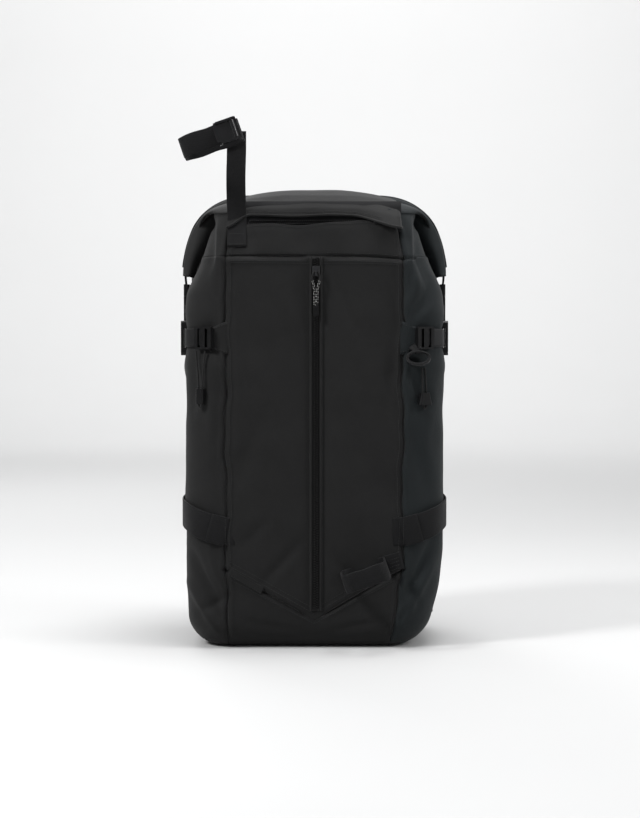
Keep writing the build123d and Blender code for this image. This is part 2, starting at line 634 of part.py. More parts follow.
def shoulder_strap():
    """Left shoulder strap: a padded band seen from the side, cut to its outline."""
    outer = STRAP_OUTER_Y
    profile = FilletPolyline((BACK_Y, 438), (BACK_Y, 480), (130, 508), (156, 504), (outer, 462),
                             (outer, 296), (163, 236), (152, 206), radius=[14, 16, 18, 30, 60, 60])
    band = prism_yz(ribbon(profile, PAD, Side.RIGHT), (-120, -20))
    outline = prism_xz([(-38, 530), (-88, 530), (-90, 460), (-98, 390), (-106, 310), (-104, 240),
                        (-96, 196), (-68, 196), (-60, 240), (-54, 320), (-46, 400), (-38, 460)],
                       (BACK_Y, outer + 20))
    return band & outline


def sternum_rail(x):
    """Rail sewn on a shoulder strap that the chest strap slides on."""
    place = Plane(origin=(x, STRAP_OUTER_Y, STERNUM_RAIL_LOW), x_dir=(1, 0, 0), z_dir=(0, 0, 1))
    return rail(place, STERNUM_RAIL_LENGTH)


def sternum():
    """Chest strap: two sliders, webbing and its buckle, all at one height."""
    web_z = (STERNUM_Z - STERNUM_HALF, STERNUM_Z + STERNUM_HALF)
    place = Plane(origin=(-STERNUM_RAIL_X, STRAP_OUTER_Y, web_z[0]), x_dir=(1, 0, 0), z_dir=(0, 0, 1))
    slider = rail_slider(place, 2 * STERNUM_HALF, bail=False)
    slider_half = RAIL_HEAD / 2 + SLIDER_CLEARANCE + SLIDER_CHEEKS / 2
    face = STRAP_OUTER_Y + BAIL_RISE - BAIL_EYE
    mid = face + 3
    loop = span((-STERNUM_RAIL_X - slider_half, -STERNUM_RAIL_X + slider_half), (face, face + WEB), web_z)
    web = span((-STERNUM_RAIL_X + slider_half, -24), (face, face + WEB), web_z)
    right_web = span((31, STERNUM_RAIL_X - slider_half), (face, face + WEB), web_z)
    socket_place = Plane(origin=(-24, mid, STERNUM_Z), x_dir=(0, 0, 1), z_dir=(1, 0, 0))
    plug_place = Plane(origin=(8, mid, STERNUM_Z), x_dir=(0, 0, 1), z_dir=(1, 0, 0))
    return {
        "sternum_rails": pair(sternum_rail(-STERNUM_RAIL_X)),
        "sternum_sliders": pair(slider + loop),
        "sternum_webs": Part(children=[web, right_web]),
        "sternum_socket": buckle_socket(socket_place, 20, 6, 32),
        "sternum_plug": buckle_plug(plug_place, 20, 6, 18),
    }


def hip_wing():
    """Left hip wing, folded flat over the lumbar pad."""
    pivot_x, pivot_y = HIP_PIVOT
    root_z = (HIP_Z - HIP_HALF_HEIGHT, HIP_Z + HIP_HALF_HEIGHT)
    root = span((pivot_x - 6, pivot_x + 2.5), (pivot_y - 3, HIP_BACK_Y), root_z)
    pad = prism_xz([(pivot_x + 2.5, root_z[0]), (-96, root_z[0] + 2), (-60, HIP_Z - 20), (-60, HIP_Z + 20),
                    (-96, root_z[1] - 2), (pivot_x + 2.5, root_z[1])], (HIP_FRONT_Y, HIP_BACK_Y))
    return root + pad


def hip_belt():
    """Both wings, unclipped, with the two buckle halves facing each other."""
    wing = hip_wing()
    web_z = (HIP_Z - 15, HIP_Z + 15)
    middle_y = (HIP_FRONT_Y + HIP_BACK_Y) / 2
    web_y = (middle_y - WEB / 2, middle_y + WEB / 2)
    left_web = span((-60, HIP_SOCKET_X), web_y, web_z)
    right_web = span((HIP_MOUTH_X + GAP + 15, 60), web_y, web_z)
    socket_place = Plane(origin=(HIP_SOCKET_X, middle_y, HIP_Z), x_dir=(0, 0, 1), z_dir=(1, 0, 0))
    plug_place = Plane(origin=(HIP_MOUTH_X, middle_y, HIP_Z), x_dir=(0, 0, 1), z_dir=(1, 0, 0))
    plug = buckle_plug(plug_place, HIP_BUCKLE_WIDTH, 9, 24, arms=False)
    upper_arm = extrude(plug_place.offset(-1) * Pos(HIP_ARM_Z, 0) * Rectangle(5, 5.6), -22)
    lower_arm = extrude(plug_place.offset(-1) * Pos(-HIP_ARM_Z, 0) * Rectangle(5, 5.6), -22)
    return {
        "hip_wing_left": wing + left_web,
        "hip_wing_right": mirrored(wing) + right_web,
        "hip_socket": buckle_socket(socket_place, HIP_BUCKLE_WIDTH, 9, 36),
        "hip_plug": plug,
        "hip_arm_upper": upper_arm,
        "hip_arm_lower": lower_arm,
    }


def harness_links():
    """Lower webbing of the shoulder straps, load lifters and the haul loop."""
    lower = bar_between((-82, 144.6, 204), (-104, 113.8, 163), 20, WEB)
    lifter = bar_between((-62, 150, 508.5), (-62, 108, 532), 18, WEB)
    arch = FilletPolyline((-28, 470), (-28, 512), (28, 512), (28, 470), radius=[18, 18])
    haul = prism_xz_flat(ribbon(arch, 3, Side.LEFT), (BACK_Y + 1, BACK_Y + 19))
    return {
        "strap_webs": pair(lower),
        "load_lifters": pair(lifter),
        "haul_loop": haul,
    }


# ---------------------------------------------------------------- assembly
def both_sides(name, shape):
    """The same piece left and right, as two nodes."""
    return {name + "_left": shape, name + "_right": mirrored(shape)}


def all_parts():
    """Every sub-part by its node name."""
    parts = {}
    for group in (bag_panels(), collar(), inner_parts(), front_zip(), top_zip(), roll_top(), compression(),
                  toggles(), lower_ski_strap(), upper_ski_strap(), back_padding(), sternum(), hip_belt(),
                  harness_links()):
        parts.update(group)
    parts.update(both_sides("side_loop", side_loop()))
    parts.update(both_sides("shoulder_strap", shoulder_strap()))
    return parts


os.makedirs("parts", exist_ok=True)
for node, shape in all_parts().items():
    export_step(shape, f"parts/{node}.step")
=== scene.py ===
import bpy
import json
import math
import numpy as np
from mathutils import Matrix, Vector


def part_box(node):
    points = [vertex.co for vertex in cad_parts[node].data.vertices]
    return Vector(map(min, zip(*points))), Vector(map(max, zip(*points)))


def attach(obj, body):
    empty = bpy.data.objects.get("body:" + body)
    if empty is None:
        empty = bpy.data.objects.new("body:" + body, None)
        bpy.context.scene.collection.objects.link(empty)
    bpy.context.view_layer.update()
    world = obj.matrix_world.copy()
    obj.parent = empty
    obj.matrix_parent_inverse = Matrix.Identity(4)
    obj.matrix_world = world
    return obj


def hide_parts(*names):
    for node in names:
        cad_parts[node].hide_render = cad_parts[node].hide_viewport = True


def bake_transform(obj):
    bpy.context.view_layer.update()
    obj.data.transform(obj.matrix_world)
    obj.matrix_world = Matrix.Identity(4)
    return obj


# A roll-top ski-touring backpack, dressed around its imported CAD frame. Metres, +Z up,
# front face towards -Y, +X to the right when the front is looked at.

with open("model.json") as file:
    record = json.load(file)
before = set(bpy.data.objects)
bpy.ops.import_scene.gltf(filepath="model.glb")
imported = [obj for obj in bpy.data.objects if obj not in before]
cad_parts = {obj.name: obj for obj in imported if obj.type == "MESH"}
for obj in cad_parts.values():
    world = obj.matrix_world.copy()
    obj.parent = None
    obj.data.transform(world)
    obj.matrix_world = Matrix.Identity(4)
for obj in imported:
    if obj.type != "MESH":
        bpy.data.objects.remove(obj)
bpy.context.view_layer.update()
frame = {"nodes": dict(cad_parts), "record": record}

# ---------------------------------------------------------------- driving sizes
side_low, side_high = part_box("side_panel_left")
HALF_WIDTH = -side_low.x
FRONT_Y = side_low.y
BACK_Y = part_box("back_panel")[1].y
BODY_TOP = side_high.z
FRONT_RADIUS = 0.050
BACK_RADIUS = 0.040
BASE_RADIUS = 0.036
SEAM_X = HALF_WIDTH - FRONT_RADIUS       # vertical seams beside the front panel
V_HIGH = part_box("base_panel")[1].z       # V seam at the side seams
V_LOW = 0.035                            # V seam in the middle
zip_low, zip_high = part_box("front_zip_tape")
ZIP_X = (zip_low.x + zip_high.x) / 2
ZIP_LOW = zip_low.z
WELT = 0.008                             # half width of the front zip's welt
COLLAR_TOP = 0.546
COLLAR_SLOPE = 0.3                       # how far the collar's front leans back per metre of height
SKI_TILT = math.radians(19)

# Collar sections above the body: height, half width, front y, back y, front and back radius.
COLLAR = [
    (0.488, 0.160, -0.1100, 0.110, 0.050, 0.040),
    (0.520, 0.150, -0.1004, 0.104, 0.046, 0.038),
    (COLLAR_TOP, 0.130, -0.0926, 0.092, 0.042, 0.036),
    (0.562, 0.104, -0.0300, 0.034, 0.020, 0.020),
]


# ---------------------------------------------------------------- node helpers
class Shader:
    """A material under construction: small helpers around its node tree."""

    def __init__(self, name):
        self.material = bpy.data.materials.new(name)
        self.material.use_nodes = True
        self.tree = self.material.node_tree
        self.surface = self.tree.nodes["Principled BSDF"]
        self.space = self.tree.nodes.new("ShaderNodeTexCoord").outputs["Object"]

    def node(self, kind, **inputs):
        made = self.tree.nodes.new(kind)
        for key, value in inputs.items():
            made.inputs[key.replace("_", " ")].default_value = value
        return made

    def link(self, source, target):
        self.tree.links.new(source, target)

    def math(self, operation, *values):
        made = self.tree.nodes.new("ShaderNodeMath")
        made.operation = operation
        for socket, value in zip(made.inputs, values):
            if isinstance(value, (int, float)):
                socket.default_value = value
            else:
                self.link(value, socket)
        return made.outputs[0]

    def scaled(self, value, factor, base):
        return self.math("ADD", self.math("MULTIPLY", value, factor), base)

    def weighed(self, first, share, second, other_share):
        return self.scaled(first, share, self.math("MULTIPLY", second, other_share))

    def blend_colors(self, factor, low, high):
        ramp = self.tree.nodes.new("ShaderNodeMix")
        ramp.data_type = "RGBA"
        self.link(factor, ramp.inputs["Factor"])
        ramp.inputs["A"].default_value = (*low, 1)
        ramp.inputs["B"].default_value = (*high, 1)
        return ramp.outputs["Result"]

    def bump(self, height, strength, distance, below=None):
        made = self.node("ShaderNodeBump", Strength=strength, Distance=distance)
        self.link(height, made.inputs["Height"])
        if below is not None:
            self.link(below, made.inputs["Normal"])
        return made.outputs["Normal"]

    def noise(self, scale, detail):
        made = self.node("ShaderNodeTexNoise", Scale=scale, Detail=detail, Roughness=0.6)
        self.link(self.space, made.inputs["Vector"])
        return made.outputs["Fac"]

    def threads(self, axis_value, pitch):
        """A wave of 0 to 1 with one ridge per pitch."""
        wave = self.math("SINE", self.math("MULTIPLY", axis_value, 2 * math.pi / pitch))
        return self.scaled(wave, 0.5, 0.5)

    def cloth_axes(self):
        """Coordinates across and along the cloth, in metres, from the mesh's own map."""
        made = self.tree.nodes.new("ShaderNodeUVMap")
        made.uv_map = "cloth"
        split = self.tree.nodes.new("ShaderNodeSeparateXYZ")
        self.link(made.outputs["UV"], split.inputs["Vector"])
        return split.outputs["X"], split.outputs["Y"]

    def finish(self, color, roughness, normal, sheen=0.0, specular=0.4):
        self.link(color, self.surface.inputs["Base Color"])
        self.link(roughness, self.surface.inputs["Roughness"])
        self.link(normal, self.surface.inputs["Normal"])
        self.surface.inputs["Sheen Weight"].default_value = sheen
        self.surface.inputs["Sheen Roughness"].default_value = 0.5
        self.surface.inputs["Specular IOR Level"].default_value = specular
        return self.material


def woven_fabric(name, dark, light, pitch=0.0009, sheen=0.05):
    """Plain-weave pack cloth: crossing threads, faint slubs and a soft wide mottle."""
    shader = Shader(name)
    across, along = shader.cloth_axes()
    warp = shader.threads(across, pitch)
    weft = shader.threads(along, pitch)
    weave = shader.math("MULTIPLY", warp, weft)
    mottle = shader.noise(26, 4)
    slub = shader.noise(700, 2)
    grain = shader.math("MULTIPLY", shader.math("ADD", mottle, slub), 0.5)
    tone = shader.weighed(weave, 0.35, grain, 0.75)
    color = shader.blend_colors(tone, dark, light)
    roughness = shader.scaled(grain, 0.2, 0.66)
    soft = shader.bump(mottle, 0.55, 0.0016)
    threads = shader.bump(weave, 0.5, 0.00012, soft)
    slubs = shader.bump(slub, 0.25, 0.00015, threads)
    return shader.finish(color, roughness, slubs, sheen, 0.12)


def webbing_cloth(name, dark, light):
    """Tightly woven strap: cross ribs, a herringbone hint and rubbed edges."""
    shader = Shader(name)
    rib = 0.0016
    across, along = shader.cloth_axes()
    ribs = shader.threads(along, rib)
    skew = shader.math("ADD", across, shader.math("MULTIPLY", along, 0.5))
    twill = shader.threads(skew, rib * 1.5)
    height = shader.weighed(ribs, 0.6, twill, 0.4)
    wear = shader.noise(60, 4)
    tone = shader.weighed(height, 0.45, wear, 0.6)
    color = shader.blend_colors(tone, dark, light)
    roughness = shader.scaled(wear, 0.25, 0.5)
    normal = shader.bump(height, 0.7, 0.0003)
    return shader.finish(color, roughness, normal, 0.03, 0.11)


def spacer_mesh(name, dark, light):
    """Open honeycomb mesh over foam, for the pads that touch the wearer."""
    shader = Shader(name)
    cells = shader.node("ShaderNodeTexVoronoi", Scale=420.0, Randomness=0.15)
    shader.link(shader.space, cells.inputs["Vector"])
    hole = shader.math("LESS_THAN", cells.outputs["Distance"], 0.36)
    wide = shader.noise(30, 3)
    open_share = shader.math("MULTIPLY", hole, 0.8)
    tone = shader.math("SUBTRACT", shader.scaled(wide, 0.5, 0.6), open_share)
    color = shader.blend_colors(tone, dark, light)
    roughness = shader.scaled(wide, 0.2, 0.7)
    normal = shader.bump(hole, -0.6, 0.0006)
    return shader.finish(color, roughness, normal, 0.15, 0.25)


def moulded_plastic(name, dark, light, rough_low, rough_high, grain=2400, specular=0.5):
    """Moulded acetal with a fine spark-eroded grain and slight flow marks."""
    shader = Shader(name)
    fine = shader.noise(grain, 2)
    wide = shader.noise(45, 4)
    color = shader.blend_colors(wide, dark, light)
    spread = rough_high - rough_low
    roughness = shader.scaled(wide, spread, rough_low)
    normal = shader.bump(fine, 0.18, 0.0001, shader.bump(wide, 0.12, 0.0006))
    return shader.finish(color, roughness, normal, 0.0, specular)


def grained(name, dark, light, noise, roughness, bump, specular, metallic=0.0):
    """Paint or metal with one noise in its tone, gloss and relief.

    Noise is scale and detail, roughness is spread and least value, bump is strength and height.
    """
    shader = Shader(name)
    grain = shader.noise(*noise)
    color = shader.blend_colors(grain, dark, light)
    shader.surface.inputs["Metallic"].default_value = metallic
    return shader.finish(color, shader.scaled(grain, *roughness), shader.bump(grain, *bump), 0.0, specular)


def braided_cord(name, dark, light):
    """Round braid: helical plaits in both directions."""
    shader = Shader(name)
    plait = shader.noise(900, 3)
    wide = shader.noise(120, 2)
    color = shader.blend_colors(plait, dark, light)
    roughness = shader.scaled(wide, 0.2, 0.6)
    normal = shader.bump(plait, 0.8, 0.0004)
    return shader.finish(color, roughness, normal, 0.05, 0.16)


RECIPES = {
    "shell_fabric": (woven_fabric, (0.0050, 0.0050, 0.0052), (0.0150, 0.0150, 0.0150)),
    "side_fabric": (woven_fabric, (0.0050, 0.0062, 0.0068), (0.0150, 0.0185, 0.0200)),
    # top_fabric is the shell cloth painted lighter: painted light from the top and key lamps, on the top flap
    # and its hem, the roll and the left roll end.
    "top_fabric": (woven_fabric, (0.0075, 0.0075, 0.0078), (0.0200, 0.0200, 0.0200)),
    "webbing": (webbing_cloth, (0.0022, 0.0022, 0.0024), (0.0095, 0.0095, 0.0102)),
    "worn_webbing": (webbing_cloth, (0.0060, 0.0060, 0.0064), (0.0250, 0.0250, 0.0260)),
    "gloss_buckle": (moulded_plastic, (0.003, 0.003, 0.0035), (0.008, 0.008, 0.009), 0.10, 0.25, 900),
    "buckle_plastic": (moulded_plastic, (0.0020, 0.0020, 0.0022), (0.0060, 0.0060, 0.0064),
                       0.22, 0.40, 2400, 0.22),
    "zip_coil": (moulded_plastic, (0.004, 0.004, 0.004), (0.012, 0.012, 0.012), 0.35, 0.55, 2400, 0.3),
    "zip_metal": (grained, (0.008, 0.008, 0.009), (0.035, 0.035, 0.038),
                  (260, 5), (0.3, 0.22), (0.2, 0.0002), 0.6, 0.4),
    "pad_mesh": (spacer_mesh, (0.0035, 0.0035, 0.004), (0.020, 0.020, 0.021)),
    "cord": (braided_cord, (0.003, 0.003, 0.003), (0.013, 0.013, 0.013)),
    "tracer": (braided_cord, (0.45, 0.45, 0.44), (0.8, 0.8, 0.78)),
    "thread": (braided_cord, (0.010, 0.010, 0.010), (0.035, 0.035, 0.035)),
    "lining": (woven_fabric, (0.004, 0.004, 0.0045), (0.010, 0.010, 0.011), 0.0012, 0.02),
    "frame_plastic": (moulded_plastic, (0.03, 0.03, 0.031), (0.06, 0.06, 0.062), 0.4, 0.6),
    "stay_alloy": (grained, (0.55, 0.55, 0.57), (0.75, 0.75, 0.77),
                   (300, 2), (0.2, 0.25), (0.1, 0.0001), 0.5, 1.0),
}
LOOK = {name: make(name, *values) for name, (make, *values) in RECIPES.items()}


# ---------------------------------------------------------------- mesh helpers
def dress(piece, look, body, *nodes):
    """Gives a piece its material, its body and the CAD nodes it stands for."""
    piece.data.materials.clear()
    piece.data.materials.append(LOOK[look])
    if nodes:
        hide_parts(*nodes)
    if body:
        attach(piece, body)
    return piece


def added(name, data):
    """A new object in the scene."""
    made = bpy.data.objects.new(name, data)
    bpy.context.scene.collection.objects.link(made)
    return made


def mesh_object(name, vertices, faces, uvs=None, smooth=True):
    """Object from plain vertex and face lists, with a map in metres."""
    mesh = bpy.data.meshes.new(name)
    mesh.from_pydata([tuple(v) for v in vertices], [], faces)
    if uvs is not None:
        layer = mesh.uv_layers.new(name="cloth")
        loops = np.zeros(len(mesh.loops), dtype=np.int32)
        mesh.loops.foreach_get("vertex_index", loops)
        layer.data.foreach_set("uv", np.asarray(uvs, dtype=np.float32)[loops].ravel())
    mesh.polygons.foreach_set("use_smooth", [smooth] * len(mesh.polygons))
    mesh.update()
    return added(name, mesh)


def grid_faces(rows, columns, closed=False):
    """Quads of a rows by columns grid; closed joins the last column to the first."""
    faces = []
    last = columns if closed else columns - 1
    for row in range(rows - 1):
        for column in range(last):
            after = (column + 1) % columns
            faces.append((row * columns + column, row * columns + after,
                          (row + 1) * columns + after, (row + 1) * columns + column))
    return faces


def tube_faces(rows, columns):
    """Rings joined row by row into a tube, with a cap at either end."""
    caps = [tuple(reversed(range(columns))), tuple(range((rows - 1) * columns, rows * columns))]
    return grid_faces(rows, columns, closed=True) + caps


def shifted(faces, first):
    """The faces with every index moved on by `first`."""
    return [tuple(first + corner for corner in face) for face in faces]


def walked(points, axis):
    """Distance walked along one axis of a grid, starting at nought."""
    steps = np.linalg.norm(np.diff(points, axis=axis), axis=-1)
    start = np.zeros_like(np.take(steps, [0], axis=axis))
    return np.concatenate([start, np.cumsum(steps, axis=axis)], axis=axis)


def grid_map(points):
    """Distances along the columns and the rows, in metres, as a map."""
    across = walked(points, 1)
    across = across - across[:, points.shape[1] // 2][:, None]
    return np.stack([across, walked(points, 0)], axis=2).reshape(-1, 2)


def thicken(piece, thickness):
    """Gives a sheet its thickness, all of it to the inside."""
    solid = piece.modifiers.new("thickness", "SOLIDIFY")
    solid.thickness = thickness
    solid.offset = -1


def sheet(name, points, thickness, look, body, *nodes):
    """Cloth sheet from a grid of points, with its look, body and CAD nodes."""
    rows, columns = points.shape[:2]
    piece = mesh_object(name, points.reshape(-1, 3), grid_faces(rows, columns), grid_map(points))
    thicken(piece, thickness)
    return dress(piece, look, body, *nodes)


def read(vertices, key="co"):
    """A mesh's places or normals, one row for each vertex."""
    values = np.zeros(len(vertices) * 3)
    vertices.foreach_get(key, values)
    return values.reshape(-1, 3)


def circle(radius, count):
    """Points evenly round a circle."""
    angles = np.linspace(0, 2 * math.pi, count, endpoint=False)
    return [(radius * math.cos(angle), radius * math.sin(angle)) for angle in angles]


def side_name(sign):
    return "right" if sign > 0 else "left"


def side_look(sign):
    """The right gusset's cloth is a little bluer than the left one's."""
    return "side_fabric" if sign > 0 else "shell_fabric"


def once(node, sign):
    """The node that both sides' pieces stand for, named by the right one only."""
    return [node] if sign > 0 else []


def mirrored(points, sign):
    """Points on the sign's side of the bag."""
    return [(sign * x, y, z) for x, y, z in points]


def facing_out(points, sign):
    """A grid made for the right side, turned over when it is on the left."""
    return points if sign > 0 else points[:, ::-1]


def middle_of(node):
    """Centre of a CAD node's box."""
    low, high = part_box(node)
    return (low + high) / 2


def unit(vectors):
    """Vectors scaled to length one."""
    length = np.linalg.norm(vectors, axis=-1, keepdims=True)
    return vectors / np.maximum(length, 1e-9)


def smooth_path(corners, rounds=3):
    """Polyline with its corners cut smooth, ends kept."""
    path = np.array(corners, float)
    for _ in range(rounds):
        before = path[:-1] * 0.75 + path[1:] * 0.25
        after = path[:-1] * 0.25 + path[1:] * 0.75
        middle = np.stack([before, after], axis=1).reshape(-1, 3)
        path = np.concatenate([path[:1], middle, path[-1:]])
    return path


def resample(path, step):
    """Points at an even step along a polyline."""
    path = np.array(path, float)
    lengths = walked(path, 0)
    count = max(2, int(round(lengths[-1] / step)) + 1)
    wanted = np.linspace(0, lengths[-1], count)
    return np.stack([np.interp(wanted, lengths, path[:, axis]) for axis in range(3)], axis=1)


def swept(name, path, across, section, closed_path=False):
    """Closed tube of a flat section along a path. `across` is the section's width direction."""
    path = np.array(path, float)
    count = len(path)
    if closed_path:
        along = unit(np.roll(path, -1, axis=0) - np.roll(path, 1, axis=0))
    else:
        along = unit(np.gradient(path, axis=0))
    width = np.broadcast_to(np.array(across, float), path.shape)
    width = unit(width - np.sum(width * along, axis=1, keepdims=True) * along)
    up = np.cross(width, along)
    section = np.array(section, float)
    points = (path[:, None, :] + width[:, None, :] * section[None, :, 0, None]
              + up[:, None, :] * section[None, :, 1, None])
    sides = len(section)
    if closed_path:
        faces = [tuple(corner % (count * sides) for corner in face)
                 for face in grid_faces(count + 1, sides, closed=True)]
    else:
        faces = tube_faces(count, sides)
    lengths = walked(path, 0)
    uvs = np.stack([np.broadcast_to(section[None, :, 0], (count, sides)),
                    np.broadcast_to(lengths[:, None], (count, sides))], axis=2).reshape(-1, 2)
    return mesh_object(name, points.reshape(-1, 3), faces, uvs)


def strap_section(width, thickness):
    """Rounded flat section of a webbing strap."""
    half = width / 2
    edge = thickness / 2
    return [(-half, 0), (-half + edge * 0.4, edge * 0.8), (-half + edge * 1.2, edge), (0, edge * 1.05),
            (half - edge * 1.2, edge), (half - edge * 0.4, edge * 0.8), (half, 0),
            (half - edge * 0.4, -edge * 0.8), (half - edge * 1.2, -edge), (0, -edge * 1.05),
            (-half + edge * 1.2, -edge), (-half + edge * 0.4, -edge * 0.8)]


def strap(name, corners, across, width, body="pack", look="webbing", nodes=(), rounds=2, thickness=0.0018):
    """Webbing along a path through its corners."""
    path = resample(smooth_path(corners, rounds), 0.003)
    piece = swept(name, path, across, strap_section(width, thickness))
    return dress(piece, look, body, *nodes)


TOP_STITCH = (0.0034, 0.0024, 0.00026)   # pitch, length and radius on the body panels


def stitch_line(name, lines, body, pitch=0.0032, length=0.0022, radius=0.00028):
    """Rows of single stitches: each is a small rounded bar lying on its line."""
    vertices = []
    faces = []
    ring = circle(1, 5)
    bar = tube_faces(4, 5)
    for line in lines:
        points = resample(line, pitch)
        for here, after in zip(points[:-1], points[1:]):
            along = unit(after - here)
            side = unit(np.cross(along, [0.31, 0.2, 0.93]) + 1e-6)
            up = np.cross(along, side)
            first = len(vertices)
            for share, swell in ((0.0, 0.35), (0.25, 1.0), (0.75, 1.0), (1.0, 0.35)):
                centre = here + along * length * share
                for x, y in ring:
                    vertices.append(centre + (side * x + up * y) * radius * swell)
            faces += shifted(bar, first)
    piece = mesh_object(name, vertices, faces, np.zeros((len(vertices), 2)))
    return dress(piece, "thread", body)


def joined(name, pieces, look, body, nodes=()):
    """Several meshes as one piece."""
    vertices = []
    faces = []
    uvs = []
    for piece in pieces:
        first = len(vertices)
        mesh = piece.data
        vertices += [tuple(v.co) for v in mesh.vertices]
        faces += shifted([polygon.vertices for polygon in mesh.polygons], first)
        layer = mesh.uv_layers.get("cloth")
        flat = [(0.0, 0.0)] * len(mesh.vertices)
        if layer:
            for loop in mesh.loops:
                flat[loop.vertex_index] = tuple(layer.data[loop.index].uv)
        uvs += flat
        bpy.data.objects.remove(piece)
    made = mesh_object(name, vertices, faces, uvs)
    return dress(made, look, body, *nodes)


# ---------------------------------------------------------------- camera, light and floor
def camera():
    """Long lens from the front, level with the middle of the pack."""
    data = bpy.data.cameras.new("camera")
    data.lens = 85
    data.sensor_fit = "VERTICAL"
    data.sensor_height = 36
    view_height = 1.014
    distance = view_height * data.lens / data.sensor_height
    target = Vector((0.007, FRONT_Y, 0.299))
    elevation = math.radians(2)
    made = added("camera", data)
    made.location = target + Vector((0, -math.cos(elevation), math.sin(elevation))) * distance
    made.rotation_euler = (math.radians(90) - elevation, 0, 0)
    bpy.context.scene.camera = made


def area_light(name, place, target, size, power):
    """Soft rectangular lamp aimed at a point."""
    data = bpy.data.lights.new(name, "AREA")
    data.shape = "RECTANGLE"
    data.size = size[0]
    data.size_y = size[1]
    data.energy = power
    made = added(name, data)
    made.location = place
    aim = Vector(target) - Vector(place)
    made.rotation_euler = aim.to_track_quat("-Z", "Y").to_euler()


def studio():
    """Pale floor that sweeps up into a round wall, open to an even sky, and soft lamps."""
    world = bpy.data.worlds.new("studio")
    world.use_nodes = True
    world.node_tree.nodes["Background"].inputs["Color"].default_value = (0.93, 0.94, 0.95, 1)
    world.node_tree.nodes["Background"].inputs["Strength"].default_value = 0.85
    bpy.context.scene.world = world
    bpy.context.scene.view_settings.view_transform = "Standard"
    area_light("key", (-2.0, -1.4, 2.2), (0, 0, 0.3), (0.6, 0.6), 74)
    area_light("top", (0.3, -0.1, 2.4), (0, 0, 0.5), (1.1, 0.8), 38)
    area_light("rim", (1.9, -0.7, 1.3), (0, 0, 0.3), (0.5, 1.2), 20)
    area_light("back_fill", (-1.0, 2.4, 2.0), (0, 0, 0.3), (1.2, 1.2), 30)
    area_light("wall_wash", (0, 4.2, 3.6), (0, 7, 1.4), (3.0, 0.8), 168)
    rise = [(5 + 2 * math.sin(a), 2 - 2 * math.cos(a)) for a in np.linspace(0, math.pi / 2, 14)]
    profile = [(0.02, 0), (2, 0)] + rise + [(7, 5)]
    around = np.linspace(0, 2 * math.pi, 96, endpoint=False)
    points = np.array([[(r * math.cos(a), r * math.sin(a), z) for a in around] for r, z in profile])
    sweep = mesh_object("floor", points.reshape(-1, 3), grid_faces(len(profile), len(around), closed=True)
                        + [tuple(range(len(around)))])
    paint = grained("floor_paint", (0.485,) * 3, (0.50,) * 3, (2, 2), (0.1, 0.7), (0.02, 0.001), 0.3)
    sweep.data.materials.append(paint)


# ---------------------------------------------------------------- cords
def nurbs_cord(name, route, diameter, body, node):
    """Round cord on one smooth curve through its route's control points, in millimetres."""
    data = bpy.data.curves.new(name, "CURVE")
    data.dimensions = "3D"
    data.bevel_depth = diameter / 2
    data.bevel_resolution = 4
    data.resolution_u = 12
    data.use_fill_caps = True
    spline = data.splines.new("NURBS")
    spline.points.add(len(route) - 1)
    for point, place in zip(spline.points, route):
        point.co = (place[0] / 1000, place[1] / 1000, place[2] / 1000, 1)
    spline.order_u = 3
    spline.use_endpoint_u = True
    return dress(added(name, data), "cord", body, node)


FRONT_PULL_ROUTE = [
    (0.5, -116.9, 426.5), (0.4, -116.9, 438.5), (-0.1, -116.9, 449.5), (-2.9, -116.9, 458.5),
    (-2.3, -116.9, 465.5), (2.0, -116.9, 470.1), (6.3, -116.9, 465.5), (6.9, -116.9, 458.5),
    (4.1, -116.9, 449.5), (3.6, -116.9, 438.5), (3.5, -116.9, 426.5)]
LEFT_CORD_ROUTE = [
    (-146.8, -103.2, 370.5), (-145.6, -104.3, 355), (-144.3, -105.2, 341), (-143.6, -105.4, 327),
    (-143.7, -105.5, 314), (-143.6, -105.6, 305), (-143.1, -106.0, 300.4), (-139.8, -108.2, 300.4),
    (-139.3, -108.6, 305), (-139.2, -108.6, 314), (-139.1, -108.6, 327), (-138.2, -109.2, 341),
    (-136.9, -109.7, 355), (-135.4, -110.5, 370.5)]
RIGHT_CORD_ROUTE = [
    (133.6, -109.6, 350), (134.0, -110.2, 335), (134.4, -110.6, 321), (134.8, -110.4, 308),
    (135.6, -110.0, 299.6), (139.0, -107.7, 299.6), (139.3, -107.4, 308), (138.6, -107.9, 321),
    (138.0, -108.2, 335), (137.0, -107.4, 350)]


# Piece, CAD node, route, diameter, real length, body and what hangs on the cord.
CORDS = [
    ("front_cord", "front_pull_cord", FRONT_PULL_ROUTE, 0.0025, 0.089, "front_pull", "front_pull_tip"),
    ("left_cord", "toggle_cord_left", LEFT_CORD_ROUTE, 0.0022, 0.143, "left_toggle", "toggle_lock_left"),
    ("right_cord", "toggle_cord_right", RIGHT_CORD_ROUTE, 0.0022, 0.103, "right_toggle", "toggle_tab_right"),
]


def cords():
    """The three free cords. Returns them by name."""
    made = {}
    for name, node, route, diameter, length, body, end in CORDS:
        made[name] = nurbs_cord(name, route, diameter, body, node)
    return made


# ---------------------------------------------------------------- the bag's cloth shell
N_FRONT = 110
N_CORNER = 34
N_SIDE = 44
N_BACK_CORNER = 16
N_BACK = 60


